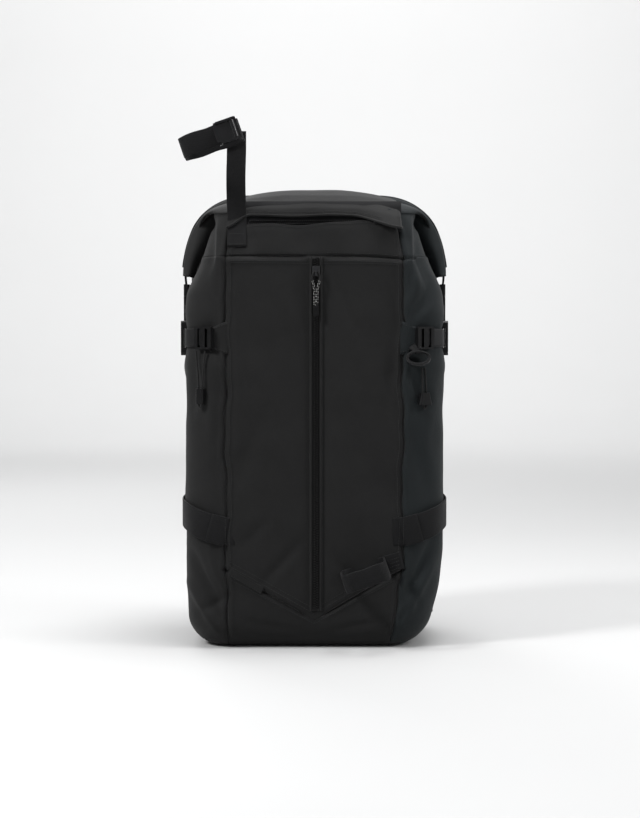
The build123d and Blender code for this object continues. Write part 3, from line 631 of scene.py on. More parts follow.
def outline(half, front, back, r_front, r_back):
    """Points round the bag at one height, from the left front seam along the front."""
    def line(start, end, count):
        shares = np.linspace(0, 1, count, endpoint=False)[:, None]
        return np.array(start) + (np.array(end) - np.array(start)) * shares

    def arc(centre, radius, first, last, count):
        angles = np.radians(np.linspace(first, last, count, endpoint=False))
        return np.array(centre) + radius * np.stack([np.cos(angles), np.sin(angles)], axis=1)

    return np.concatenate([
        line((-half + r_front, front), (half - r_front, front), N_FRONT),
        arc((half - r_front, front + r_front), r_front, -90, 0, N_CORNER),
        line((half, front + r_front), (half, back - r_back), N_SIDE),
        arc((half - r_back, back - r_back), r_back, 0, 90, N_BACK_CORNER),
        line((half - r_back, back), (-half + r_back, back), N_BACK),
        arc((-half + r_back, back - r_back), r_back, 90, 180, N_BACK_CORNER),
        line((-half, back - r_back), (-half, front + r_front), N_SIDE),
        arc((-half + r_front, front + r_front), r_front, 180, 270, N_CORNER),
    ])


RIGHT_SEAM = N_FRONT
RIGHT_BACK = RIGHT_SEAM + N_CORNER + N_SIDE
LEFT_BACK = RIGHT_BACK + 2 * N_BACK_CORNER + N_BACK
COLUMNS = LEFT_BACK + N_SIDE + N_CORNER
SPANS = {"front": (0, RIGHT_SEAM), "right": (RIGHT_SEAM, RIGHT_BACK),
         "back": (RIGHT_BACK, LEFT_BACK), "left": (LEFT_BACK, COLUMNS)}
FILLET_ROWS = 12
LOW_ROWS = 26
BODY_ROWS = 150


def v_seam(x):
    """Height of the V seam over the base at a place across the front."""
    return V_LOW + (V_HIGH - V_LOW) * np.minimum(np.abs(x) / SEAM_X, 1)


def front_seam_drop(x):
    """The seam under the collar sags a little to the right."""
    return -0.004 * np.clip((x - 0.02) / 0.09, 0, 1) ** 2


def body_rows():
    """Grid of the body from the edge of the flat base up to the collar, undisturbed."""
    rows = []
    for turn in np.linspace(0, math.pi / 2, FILLET_ROWS + 1):
        inset = BASE_RADIUS * (1 - math.sin(turn))
        height = BASE_RADIUS * (1 - math.cos(turn))
        rows.append((height, inset))
    rows += [(height, 0.0) for height in np.linspace(BASE_RADIUS, V_HIGH, LOW_ROWS + 1)[1:]]
    rows += [(height, 0.0) for height in np.linspace(V_HIGH, BODY_TOP, BODY_ROWS + 1)[1:]]
    grid = []
    for height, inset in rows:
        flat = outline(HALF_WIDTH - inset, FRONT_Y + inset, BACK_Y - inset,
                       FRONT_RADIUS - inset, BACK_RADIUS - inset)
        grid.append(np.column_stack([flat, np.full(len(flat), height)]))
    return np.array(grid)


V_ROW = FILLET_ROWS + LOW_ROWS


def lower_to_v(grid):
    """Moves the front columns' rows so that one row follows the V seam."""
    for column in range(RIGHT_SEAM + 1):
        x = grid[-1, column, 0]
        v = float(v_seam(x))
        for row in range(grid.shape[0]):
            height = grid[row, column, 2]
            if row <= V_ROW:
                new = height * v / V_HIGH
            else:
                new = v + (height - V_HIGH) * (BODY_TOP - v) / (BODY_TOP - V_HIGH)
            grid[row, column, 2] = new
            turn = np.clip(new / BASE_RADIUS, 0, 1)
            inset = BASE_RADIUS * (1 - math.sqrt(max(0.0, 1 - (1 - turn) ** 2)))
            grid[row, column, 1] = FRONT_Y + inset
            grid[row, column, 0] = x * (HALF_WIDTH - FRONT_RADIUS) / SEAM_X
    return grid


RANDOM = np.random.default_rng(7)
WAVES = [(RANDOM.normal(size=3), RANDOM.uniform(0, 6.28)) for _ in range(9)]


def ripple(points, scale, first, stretch=(1, 1, 1)):
    """Smooth irregular wave over points, about -1 to 1, from five of the waves; scale in waves per metre."""
    chosen = WAVES[first:first + 5]
    total = np.zeros(points.shape[:-1])
    for direction, phase in chosen:
        total += np.cos((points * np.array(stretch)) @ direction * scale * 2 * math.pi + phase)
    return total / len(chosen)


def bell(distance, width):
    """Smooth bump of height one."""
    return np.exp(-(distance / width) ** 2)


def grid_normals(points, closed=True):
    """Outward directions of a grid whose columns run round the bag and rows upward."""
    if closed:
        across = np.roll(points, -1, axis=1) - np.roll(points, 1, axis=1)
    else:
        across = np.gradient(points, axis=1)
    along = np.gradient(points, axis=0)
    return unit(np.cross(across, along))


# Folds in the cloth, in millimetres: start, end, width and height (negative is a valley).
# On the front the places are x and z, on the sides y and z.
FRONT_FOLDS = [
    (-152, 120, -113, 34, 6.5, -3), (-156, 78, -120, 20, 5.5, 2.6), (-142, 46, -112, 66, 5, -2.2),
    (-130, 124, -116, 80, 5, 1.6), (150, 145, 117, 62, 7, -3.2), (146, 105, 119, 30, 6, 2.6),
    (117, 92, 138, 52, 5, -2.2), (128, 60, 112, 22, 5, -2), (-146, 364, -152, 290, 6.5, -2.4),
    (-124, 362, -128, 262, 7.5, 1.8), (-118, 412, -142, 462, 7, -2.2), (122, 412, 150, 458, 6.5, -3),
    (117, 428, 140, 486, 6.5, 2.4), (117, 352, 143, 300, 6.5, -2.4), (150, 350, 136, 250, 8, 1.8),
    (124, 270, 138, 190, 8, -1.6), (-98, 452, -94, 250, 8, 1.2), (99, 462, 96, 290, 7, -1.3),
    (22, 474, 50, 398, 8, -1.1), (-18, 132, -66, 80, 7, -1.8), (20, 120, 64, 70, 7, -1.6),
    (-85, 34, -18, 20, 6, -1.8), (16, 20, 90, 34, 6, -1.8), (-60, 300, -100, 200, 11, -1.2),
    (50, 260, 98, 170, 11, -1.2), (-90, 128, -60, 160, 7, -1.2),
]
SIDE_FOLDS = [
    (-56, 134, 52, 88, 8.5, -3.2), (-45, 270, 64, 302, 10, -2), (-55, 418, 45, 452, 8, -2.8),
    (-52, 352, 34, 330, 9, 2), (0, 204, 70, 160, 8.5, 2), (-30, 60, 66, 50, 8, -2.2),
]


def folds(points, listed, first_axis):
    """Height of the listed folds over the points, seen along the other level axis."""
    flat = points[..., [first_axis, 2]]
    total = np.zeros(points.shape[:-1])
    for *places, width, height in np.array(listed) / 1000:
        start = np.array(places[:2])
        end = np.array(places[2:])
        run = end - start
        share = np.clip(((flat - start) @ run) / (run @ run), 0, 1)
        gap = np.linalg.norm(flat - (start + share[..., None] * run), axis=-1)
        total += 1.5 * height * bell(gap, width) * np.sin(math.pi * (0.12 + 0.76 * share))
    return total


def smooth_step(value, low, high):
    """Smooth rise from 0 to 1 between low and high."""
    share = np.clip((value - low) / (high - low), 0, 1)
    return share * share * (3 - 2 * share)


def waist_at(height):
    """How far the soft gusset sinks in under the folded roll ends at a height, in metres."""
    return 0.019 * smooth_step(height, 0.438, 0.492) * (1 - smooth_step(height, 0.528, 0.5575))


def waist(points):
    """The gusset's sinking over points, which fades out on the front and towards the back."""
    x, y, z = np.abs(points[..., 0]), points[..., 1], points[..., 2]
    return waist_at(z) * smooth_step(x, 0.116, 0.148) * (1 - smooth_step(y, -0.010, 0.055))


STRAP_MIDDLE = middle_of("compression_webs").z


def groove(gap, depth, width, lip, lip_place, lip_width):
    """Depth of a sewn seam at a distance from it: a narrow groove with a soft lip beside it."""
    return depth * bell(gap, width) - lip * bell(gap - lip_place, lip_width)


def cloth_relief(points):
    """How far the cloth stands out of the plain shell, in metres."""
    x, y, z = points[..., 0], points[..., 1], points[..., 2]
    on_front = (y < FRONT_Y + 0.012) & (np.abs(x) < SEAM_X + 0.004)
    v = v_seam(x)
    rise = np.clip((z - v) / (BODY_TOP - v), 0, 1)
    half = np.where(x > ZIP_X, (x - ZIP_X - WELT) / (SEAM_X - ZIP_X - WELT),
                    (ZIP_X - WELT - x) / (SEAM_X + ZIP_X - WELT))
    half = np.clip(half, 0, 1)
    pillow = np.sin(math.pi * half) ** 0.8 * np.sin(math.pi * np.clip(rise, 0, 1)) ** 0.35 * 0.0036
    side = (np.abs(x) >= SEAM_X) & (y < BACK_Y - 0.02)
    swell = 0.0018 + 0.0018 * np.sin(math.pi * np.clip(z / 0.5, 0, 1))
    relief = np.where(on_front & (z > v), pillow, 0.0)
    relief = relief + np.where(side, swell * bell(y + 0.01, 0.09), 0.0)
    relief += 0.0018 * ripple(points, 5, 0, (1, 1, 0.6))
    relief += 0.0009 * ripple(points, 16, 3, (1, 1, 0.5))
    relief += np.where(y < -0.05, folds(points, FRONT_FOLDS, 0), 0)
    relief += np.where(np.abs(x) > 0.145, folds(points, SIDE_FOLDS, 1) * smooth_step(y, -0.075, -0.05), 0)
    beside = np.clip((np.abs(x) - SEAM_X) / 0.02, 0, 1)
    relief -= 0.0034 * bell(z - STRAP_MIDDLE, 0.014) * beside
    relief += 0.0018 * bell(np.abs(z - STRAP_MIDDLE) - 0.032, 0.014) * beside
    seam = np.abs(np.abs(x) - SEAM_X)
    relief -= np.where(y < 0, groove(seam, 0.0034, 0.0017, 0.0013, 0.0050, 0.0024), 0)
    v_gap = np.abs(z - v) * 0.86
    relief -= np.where(on_front, groove(v_gap, 0.0032, 0.0018, 0.0010, 0.005, 0.003), 0)
    top = np.abs(z - BODY_TOP)
    relief -= np.where(on_front, groove(top, 0.0032, 0.0020, 0.0012, 0.006, 0.0030), 0)
    beside_zip = np.maximum(np.abs(x - ZIP_X) - WELT, 0)
    flat = np.where(on_front, 1 - bell(beside_zip, 0.007) * 0.97, 1.0)
    grounded = np.clip(z / 0.03, 0, 1)
    return relief * flat * grounded


def sunk(points):
    """The points with the gusset's waist taken in."""
    shaped = points.copy()
    shaped[..., 0] -= np.sign(points[..., 0]) * waist(points)
    return shaped


def slump(points):
    """The lower right corner hangs in, as soft cloth does over a light load."""
    shaped = points.copy()
    x, z = points[..., 0], points[..., 2]
    reach = np.clip((0.12 - z) / 0.12, 0, 1) ** 1.6
    shaped[..., 0] = np.where(x > 0, x * (1 - 0.16 * reach), x * (1 - 0.03 * reach))
    return shaped


def seam_sway(points):
    """Sideways wander of the vertical seams, as in sewn and packed cloth."""
    x, y, z = points[..., 0], points[..., 1], points[..., 2]
    wander = 0.0015 * np.sin(z * 47 + np.sign(x) * 1.3) + 0.0009 * np.sin(z * 127 + np.sign(x))
    middle = smooth_step(z, 0.02, 0.07) * (1 - smooth_step(z, 0.43, 0.48))
    return wander * middle * bell(np.abs(x) - SEAM_X, 0.018) * (y < -0.05)


def side_sheet(name, grid, side, thickness, *nodes):
    """One side of a grid that runs round the bag, from seam to seam, as cloth."""
    around = np.concatenate([grid, grid[:, :1]], axis=1)
    first, last = SPANS[side]
    look = "side_fabric" if side == "right" else "shell_fabric"
    return sheet(name, around[:, first:last + 1], thickness, look, "pack", *nodes)


def body_skin():
    """The five cloth panels of the body, cut from one shell so that their seams meet."""
    plain = lower_to_v(body_rows())
    normals = grid_normals(plain)
    grid = sunk(slump(plain + normals * cloth_relief(plain)[..., None]))
    grid[..., 0] += seam_sway(plain)
    drop = front_seam_drop(grid[-1, :, 0])
    fade = np.clip((grid[..., 2] - 0.40) / (BODY_TOP - 0.40), 0, 1) ** 2
    front = (plain[..., 1] < FRONT_Y + 0.012)
    grid[..., 2] += np.where(front, drop[None, :] * fade, 0)
    for side, node in (("front", "front_panel"), ("right", "side_panel_right"),
                       ("back", "back_panel"), ("left", "side_panel_left")):
        points = grid[V_ROW:] if side == "front" else grid
        piece = side_sheet(side + "_cloth", points, side, 0.0028, node)
    side_sheet("base_cloth_front", grid[:V_ROW + 1], "front", 0.0028)
    base_sheet(grid[0])
    seam_stitches(grid)
    return grid


def seam_stitches(grid):
    """Top stitching beside the vertical seams, along the V seam and under the collar."""
    lift = np.array([0, -0.0004, 0])
    lines = []
    for x in (-0.1045, 0.1045):
        column = int(np.argmin(np.abs(grid[-1, :N_FRONT, 0] - x)))
        lines.append(grid[V_ROW + 3:-3, column] + lift)
    for row in (V_ROW - 4, V_ROW + 3, V_ROW + 5):
        lines.append(grid[row, 3:RIGHT_SEAM - 2] + lift)
    for row in (-4, -3):
        lines.append(grid[row, 3:RIGHT_SEAM - 2] + lift)
    stitch_line("seam_stitches", lines, "pack", *TOP_STITCH)


def divider():
    """Inner sheet behind the tool pocket; its top corners draw in with the gusset."""
    low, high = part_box("tool_divider")
    heights = np.linspace(low.z, high.z, 60)
    half = high.x - 0.002 - 0.0125 * smooth_step(heights, 0.425, 0.472)
    columns = np.linspace(-1, 1, 40)
    points = np.zeros((len(heights), len(columns), 3))
    points[..., 0] = half[:, None] * columns[None, :]
    points[..., 1] = low.y
    points[..., 2] = heights[:, None]
    points[..., 1] += 0.0015 * ripple(points, 6, 1)
    sheet("divider_cloth", points, 0.0012, "lining", "pack", "tool_divider")


def base_sheet(rim):
    """Flat base cloth inside the rounded edge."""
    rings = [rim * np.array([share, share, 1]) for share in (1.0, 0.93, 0.8, 0.6, 0.4, 0.2, 0.04)]
    points = np.array(rings)[::-1]
    rows, columns = points.shape[:2]
    faces = grid_faces(rows, columns, closed=True)
    faces.append(tuple(reversed(range(columns))))
    uvs = points.reshape(-1, 3)[:, :2]
    piece = mesh_object("base_cloth", points.reshape(-1, 3), faces, uvs)
    thicken(piece, 0.0025)
    dress(piece, "shell_fabric", "pack", "base_panel")


# ---------------------------------------------------------------- collar, hood and roll
def collar_at(height):
    """Half width, front, back, and front and back radius of the collar at a height."""
    known = np.array(COLLAR)
    return [np.interp(height, known[:, 0], known[:, column]) for column in range(1, 6)]


def collar_sections(heights):
    """Smooth outlines of the collar at the given heights."""
    rows = []
    for height in heights:
        flat = outline(*collar_at(height))
        rows.append(np.column_stack([flat, np.full(len(flat), height)]))
    return np.array(rows)


ZIP_Z = 0.530
FLAP_LOW = 0.5385                        # lower edge of the top flap, left and middle
GARAGE_X = (0.058, 0.086)                # the flap bulges over the parked slider from here on


def flap_edge(x):
    """Height of the flap's lower edge: level, then falling towards both side seams."""
    right = smooth_step(x, 0.046, 0.112)
    left = smooth_step(-x, 0.080, 0.112)
    return FLAP_LOW - 0.0155 * right - 0.0150 * left + 0.0007 * np.sin(x * 60)


def lip_line(x):
    """Height of the pocket's lip under the flap: a wavy gap that closes to the right."""
    gap = 0.0105 * (1 - smooth_step(x, 0.000, 0.100)) * (1 - smooth_step(-x, 0.078, 0.108))
    return flap_edge(x) - gap + 0.0009 * np.sin(x * 105) * (1 - smooth_step(x, 0.02, 0.09))


def collar_face(z):
    """Depth of the collar's plain front at a height."""
    return FRONT_Y + COLLAR_SLOPE * (z - BODY_TOP)


def front_edge(z):
    """Distance from the middle to the collar's front corners at a height."""
    return np.interp(z, [0.488, 0.520, COLLAR_TOP], [0.110, 0.104, 0.088])


def collar_skin(body_grid):
    """Cloth of the collar: pocket front, sides and back."""
    heights = np.linspace(BODY_TOP, COLLAR_TOP, 24)
    plain = collar_sections(heights)
    normals = grid_normals(plain)
    x, y, z = plain[..., 0], plain[..., 1], plain[..., 2]
    relief = 0.0009 * ripple(plain, 6, 2)
    on_front = (y < -0.085) & (np.abs(x) < 0.112)
    rise = np.clip((z - BODY_TOP) / 0.045, 0, 1)
    edge = np.clip((0.108 - np.abs(x)) / 0.03, 0, 1)
    edge = edge * (1 - smooth_step(-x, 0.066, 0.082))
    pocket = 0.0052 * rise ** 0.7 * edge * (1 + 0.25 * np.sin(x * 95))
    relief += np.where(on_front, pocket, 0)
    seam = np.abs(np.abs(x) - front_edge(z))
    relief -= np.where(y < 0, groove(seam, 0.0032, 0.0018, 0.0013, 0.0052, 0.0026), 0)
    relief -= np.where(on_front, 0.0030 * bell(z - BODY_TOP, 0.0022), 0)
    grid = sunk(plain + normals * relief[..., None])
    grid[0] = body_grid[-1]
    for side in ("right", "back", "left"):
        side_sheet("collar_" + side, grid, side, 0.0026)
    front = grid[:, :RIGHT_SEAM + 1].copy()
    share = (front[..., 2] - BODY_TOP) / (COLLAR_TOP - BODY_TOP)
    lip = lip_line(front[-1, :, 0])
    low = front[0, :, 2]
    stretched = low[None, :] + np.clip(share, 0, 1) * (lip - low)[None, :]
    front[..., 1] += COLLAR_SLOPE * (stretched - front[..., 2])
    front[..., 0] *= front_edge(stretched) / front_edge(front[..., 2])
    front[..., 2] = stretched
    sheet("pocket_front", front, 0.0024, "shell_fabric", "pack", "collar_band")
    stitches = [front[2, 3:-3] + [0, -0.0005, 0], front[-3, 3:-3] + [0, -0.0005, 0]]
    stitch_line("pocket_stitches", stitches, "pack", *TOP_STITCH)
    return grid


def hood_profile(share, front):
    """Height and depth of the hood over its run from the zip up to the roll."""
    if front:
        path = np.array([(0.5385, -0.1000), (0.548, -0.0965), (0.557, -0.0875), (0.566, -0.0690),
                         (0.5735, -0.0440), (0.5765, -0.0220)])
    else:
        path = np.array([(COLLAR_TOP, 0.0920), (0.556, 0.0800), (0.5630, 0.0620), (0.5680, 0.0460),
                         (0.5710, 0.0360), (0.5720, 0.0300)])
    places = np.linspace(0, 1, len(path))
    return np.interp(share, places, path[:, 0]), np.interp(share, places, path[:, 1])


def hood_skin():
    """Front flap over the top pocket and the back of the collar, both running up into the roll."""
    rows = 30
    for name, front in (("top_flap", True), ("back_flap", False)):
        shares = np.linspace(0, 1, rows)
        columns = np.linspace(-1, 1, 90)
        points = np.zeros((rows, len(columns), 3))
        for row, share in enumerate(shares):
            z, y = hood_profile(share, front)
            low_half = 0.109 if front else 0.094
            half = low_half + (0.102 - low_half) * share
            x = columns * half
            crown = 1 - np.abs(columns) ** 3.2
            fall = 0.014 * (1 - crown) * share
            points[row, :, 0] = x
            points[row, :, 1] = y + (0.010 if front else -0.010) * (1 - crown) * share
            points[row, :, 2] = z - fall
        if front:
            fade = (np.clip(1 - shares / 0.55, 0, 1) ** 1.5)[:, None]
            x = points[..., 0]
            edge = flap_edge(x)
            garage = smooth_step(x, *GARAGE_X) * (1 - smooth_step(x, 0.103, 0.112))
            lift = 0.0048 + 0.0015 * bell(x - 0.01, 0.05)
            bulge = (np.clip(1 - shares / 0.75, 0, 1) ** 1.1)[:, None] * 0.0110 * garage
            points[..., 1] += fade * (collar_face(edge) - lift - hood_profile(0, True)[1]) - bulge
            points[..., 2] += fade * (edge - hood_profile(0, True)[0])
        else:
            points = points[:, ::-1]
        wave = 0.0008 * ripple(points, 9, 1)
        points += grid_normals(points, closed=False) * wave[..., None]
        # The front flap takes the lighter top_fabric: painted light from the lamps above.
        piece = sheet(name, points, 0.0022, "top_fabric" if front else "shell_fabric", None)
        if front:
            flap_hem(points)
        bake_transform(piece)


def flap_hem(points):
    """Turned and stitched edge of the flap."""
    hem = swept("flap_hem", points[0] + [0, 0.0008, 0.0006], (0, 0, 1), circle(0.0015, 10))
    # The hem takes the lighter top_fabric: painted light from the lamps above.
    dress(hem, "top_fabric", "pack", "top_zip_flap")
    x = points[0, :, 0]
    sewn = (x > -0.105) & (x < GARAGE_X[1])
    lines = [points[row][sewn] + [0, -0.0005, 0.0001] for row in (2, 3)]
    stitch_line("flap_stitches", lines, "pack", *TOP_STITCH)


def hood_ring():
    """Cloth that runs in from the collar's top to the mouth under the roll."""
    heights = np.linspace(0.5455, 0.5618, 14)
    plain = collar_sections(heights)
    relief = 0.0012 * ripple(plain, 8, 4) * np.sin(np.linspace(0, math.pi, 14))[:, None]
    grid = sunk(plain + grid_normals(plain) * relief[..., None])
    for side in SPANS:
        nodes = ["collar_hood"] if side == "back" else []
        side_sheet("hood_" + side, grid, side, 0.0022, *nodes)


ROLL_DROOP = 0.013                       # the roll hangs this much lower at its ends
roll_low, roll_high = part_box("roll_bundle")
ROLL_HALF = roll_high.x


def roll_sag(x):
    """How far the roll hangs down at a place across it."""
    return ROLL_DROOP * np.abs(x / ROLL_HALF) ** 3


def roll():
    """The rolled top: a flat closed tube of cloth that droops towards both sides."""
    _, centre_y, centre_z = middle_of("roll_bundle")
    depth = (roll_high.y - roll_low.y) / 2
    rise = (roll_high.z - roll_low.z) / 2
    angles = np.linspace(0, 2 * math.pi, 64, endpoint=False)
    stations = np.linspace(-1, 1, 80)
    points = np.zeros((len(stations), len(angles), 3))
    for row, share in enumerate(stations):
        swell = 1 - 0.10 * np.abs(share) ** 3
        points[row, :, 0] = share * ROLL_HALF
        across = np.sign(np.cos(angles)) * np.abs(np.cos(angles)) ** 0.75
        points[row, :, 1] = centre_y + depth * swell * across
        points[row, :, 2] = centre_z + rise * swell * np.sin(angles) - roll_sag(share * ROLL_HALF)
    points[..., 1] += 0.0012 * ripple(points, 7, 0, (1, 2, 2))
    upper = points[..., 2] > centre_z
    points[..., 2] += np.where(upper, -0.0010 + 0.0010 * ripple(points, 9, 2, (1, 3, 2)), 0)
    fold = bell(points[..., 1] - (centre_y - 0.014), 0.0022)
    points[..., 2] -= np.where(upper, 0.0022 * fold, 0)
    rows, columns = points.shape[:2]
    faces = [face[::-1] for face in tube_faces(rows, columns)]
    piece = mesh_object("roll_cloth", points.reshape(-1, 3), faces, grid_map(points))
    # The roll takes the lighter top_fabric: painted light from the lamps above.
    dress(piece, "top_fabric", "roll_top", "roll_bundle")


def roll_inside_and_hem():
    """The stiffener, bent as the roll is, and the stitched edge on top of the roll."""
    low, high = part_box("roll_stiffener")
    _, y, z = middle_of("roll_stiffener")
    path = [(x, y, z - 0.002 - roll_sag(x)) for x in np.linspace(low.x, high.x, 50)]
    half_depth = (high.y - low.y) / 2
    half_rise = (high.z - low.z) / 2
    corners = [(across * half_depth, up * half_rise) for across, up in ((-1, -1), (1, -1), (1, 1), (-1, 1))]
    dress(swept("stiffener_bar", path, (0, 1, 0), corners), "frame_plastic", "roll_top", "roll_stiffener")
    hem_y = middle_of("roll_bundle").y - 0.016
    hem = [(x, hem_y, roll_high.z - 0.0016 - roll_sag(x))
           for x in np.linspace(-ROLL_HALF + 0.004, ROLL_HALF - 0.004, 40)]
    stitch_line("roll_stitches", [hem], "roll_top")


EAR_PATH = [(0.084, 0.5625), (0.104, 0.5605), (0.126, 0.5520), (0.1460, 0.5345), (0.1575, 0.5080),
            (0.1622, 0.4850), (0.1628, 0.4660)]


# Outer and inner fold: width, thickness, shift along y, lift off the path, points left off at the end.
EAR_LAYERS = [(0.062, 0.0090, 0.0, 0.0008, 0), (0.052, 0.0036, 0.003, -0.0062, 4)]


def ear_line(step=0.0028):
    """Middle line of a roll end, from the roll outward and down."""
    corners = [(x, 0.002, z) for x, z in EAR_PATH]
    return resample(smooth_path(corners, 3), step)


def ear(sign):
    """One folded end of the roll, turned down over the side: a fat outer fold and a thin inner one."""
    path = ear_line()
    name = "ear_" + side_name(sign)
    layers = []
    angles = np.linspace(0, 2 * math.pi, 40, endpoint=False)
    for width, thickness, shift, lift, shorter in EAR_LAYERS:
        across = width / 2 * np.sign(np.cos(angles)) * np.abs(np.cos(angles)) ** 0.45
        section = np.stack([across + shift, thickness / 2 * np.sin(angles) + lift], axis=1)
        layers.append(swept(name + "_layer", path[:len(path) - shorter], (0, 1, 0), section))
    for layer in layers:
        mesh = layer.data
        points = read(mesh.vertices)
        down = np.clip((0.570 - points[:, 2]) / 0.10, 0, 1)
        wave = ripple(points, 9, 1, (1, 1.6, 1))
        points[:, 0] += (0.0022 * wave - 0.0016 * bell(points[:, 1] + 0.012, 0.004)) * down
        sway = ripple(points, 7, 3, (1, 0.2, 1)) - np.sign(points[:, 1])
        points[:, 1] += 0.0040 * down * sway
        hem_wave = ripple(points, 8, 2, (0.3, 2, 0.1))
        points[:, 2] += 0.0030 * hem_wave * smooth_step(-points[:, 2], -0.485, -0.464)
        points[:, 0] *= sign
        mesh.vertices.foreach_set("co", points.ravel())
        if sign < 0:
            mesh.flip_normals()
        mesh.update()
    # The left roll end takes the lighter top_fabric: painted light from the key lamp on the left.
    joined(name, layers, "top_fabric" if sign < 0 else "side_fabric", "roll_top", once("roll_ends", sign))
    edge = [[(sign * (x + 0.0052), y, z) for x, _, z in path[10:-3]] for y in (-0.0225, 0.0260)]
    stitch_line(name + "_stitches", edge, "roll_top")


def ear_gusset(sign):
    """Gathered cloth that closes the hollow between a roll end and the bag's side."""
    path = ear_line(0.004)
    outer_x = path[:, 0] - 0.0030
    height = path[:, 2]
    half = collar_at(height)[0]
    inner_x = np.minimum(half - waist_at(height) * 0.45 - 0.001, outer_x - 0.001)
    depth = 0.034 * (1 - smooth_step(height, 0.522, 0.552))
    points = np.zeros((len(path), 12, 3))
    for column, share in enumerate(np.linspace(0, 1, 12)):
        x = outer_x + (inner_x - outer_x) * share
        y = -0.0225 + depth * math.sin(math.pi * min(share * 0.9, 0.75))
        gathered = y + 0.0012 * np.sin(height * 70 + share * 3)
        points[:, column] = np.stack([sign * x, gathered, height - 0.001], axis=1)
    points = facing_out(points, -sign)
    sheet("gusset_" + side_name(sign), points, 0.0016, side_look(sign), "roll_top")


def ear_face(sign):
    """Rolled front edge of a roll end: its cloth turns in from the outside towards the bag."""
    path = ear_line()
    along = unit(np.gradient(path, axis=0))
    inward = np.stack([along[:, 2], np.zeros(len(path)), -along[:, 0]], axis=1)
    share = np.linspace(0, 1, len(path))
    width = 0.012 + 0.015 * np.sin(math.pi * np.clip((share + 0.04) / 1.08, 0, 1)) ** 0.8
    points = np.zeros((len(path), 16, 3))
    for column, turn in enumerate(np.linspace(0, 1, 16)):
        offset = width * turn - 0.0054
        points[:, column] = path + inward * offset[:, None]
        points[:, column, 1] = -0.0245 - 0.0115 * math.sin(math.pi * (0.06 + 0.86 * turn))
    wave = ripple(points, 11, 2)
    points[..., 1] += 0.0016 * wave
    points[..., 0] += 0.0012 * ripple(points, 9, 0, (0.4, 1, 1.4)) * smooth_step(share, 0.3, 0.6)[:, None]
    points[..., 0] *= sign
    points = facing_out(points, sign)
    # The left front edge takes the lighter top_fabric: painted light from the key lamp on the left.
    look = "side_fabric" if sign > 0 else "top_fabric"
    sheet("ear_face_" + side_name(sign), points, 0.0020, look, "roll_top")


def cheek(sign):
    """Cloth that joins the collar's front corner to the roll and to the front of a roll end."""
    columns = 28
    height = 0.5425
    half, front, _, radius, _ = collar_at(height)
    turn = np.radians(np.linspace(-90, -10, columns))
    reach = radius + 0.0022
    low = np.stack([half - radius + reach * np.cos(turn), front + radius + reach * np.sin(turn),
                    np.full(columns, height)], axis=1)
    low = sunk(low)
    path = ear_line()
    high = resample(path[path[:, 2] > 0.527], 0.001)
    high = high[np.linspace(0, len(high) - 1, columns).astype(int)] + [0, -0.0345, 0]
    out = unit(np.array([0.45, -0.65, 0.60]))
    rows = []
    for share in np.linspace(0, 1, 16):
        rows.append(low * (1 - share) + high * share + out * 0.0060 * math.sin(math.pi * share))
    points = np.array(rows)
    points += out * 0.0014 * ripple(points, 12, 3)[..., None]
    points[..., 0] *= sign
    points = facing_out(points, sign)
    piece = sheet("cheek_" + side_name(sign), points, 0.0020, side_look(sign), None)
    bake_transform(piece)


# ---------------------------------------------------------------- zips
def coil_teeth(name, start, end, across, out, body, pitch=0.0021, gap=0.0):
    """Two rows of moulded teeth along a line, meshing in the middle."""
    start, end = np.array(start, float), np.array(end, float)
    along = unit(end - start)
    count = int(np.linalg.norm(end - start) / pitch)
    across, out = unit(np.array(across, float)), unit(np.array(out, float))
    vertices = []
    faces = []
    corner = [(-1, -1), (1, -1), (1, 1), (-1, 1)]
    tooth = tube_faces(2, 4)
    for number in range(count):
        for side in (-1, 1):
            centre = start + along * pitch * (number + (0.5 if side > 0 else 0.0) + 0.3)
            centre = centre + across * side * (0.0014 + gap) + out * 0.0006
            first = len(vertices)
            for level, size in ((-1, 1.0), (1, 0.6)):
                for a, b in corner:
                    vertices.append(centre + across * a * 0.0015 * size + along * b * pitch * 0.24 * size
                                    + out * level * 0.0008)
            faces += shifted(tooth, first)
    piece = mesh_object(name, vertices, faces, np.zeros((len(vertices), 2)), smooth=False)
    return dress(piece, "zip_coil", body)


def front_zip():
    """Tape, teeth, two stitched welts and the box stitch at the zip's foot."""
    top = zip_high.z - 0.001
    face = FRONT_Y
    rows = np.linspace(ZIP_LOW, top, 130)
    half = [(WELT, 0.0012), (WELT * 0.92, -0.0004), (0.0066, -0.0018), (0.0060, -0.0024), (0.0054, -0.0022),
            (0.0050, -0.0010), (0.0046, -0.0006), (0.0026, -0.0004)]
    profile = [(-x, y) for x, y in half] + [(x, y) for x, y in reversed(half)]
    points = np.array([[(ZIP_X + x, face + y - 0.0006, z) for x, y in profile] for z in rows])
    welt = sheet("zip_welt", points, 0.0018, "shell_fabric", "pack", "front_zip_tape")
    coil_teeth("zip_teeth", (ZIP_X, face - 0.0016, ZIP_LOW + 0.004), (ZIP_X, face - 0.0016, top),
               (1, 0, 0), (0, -1, 0), "pack")
    heights = np.linspace(ZIP_LOW, top, 120)
    lines = []
    for offset in (-0.0074, 0.0074):
        lines.append([(ZIP_X + offset, face - 0.0020, z) for z in heights])
    lines.append([(ZIP_X + x, face - 0.0022, ZIP_LOW + 0.001) for x in np.linspace(-0.0074, 0.0074, 8)])
    stitch_line("zip_stitches", lines, "pack")


TRACER_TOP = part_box("front_zip_slider")[0].z - 0.0035
# Corners of a fleck's ends: distance from the cord's middle, and along the cord.
FLECK_CORNERS = [(0.00112, -0.00055), (0.00156, -0.00055), (0.00156, 0.00055), (0.00112, 0.00055)]


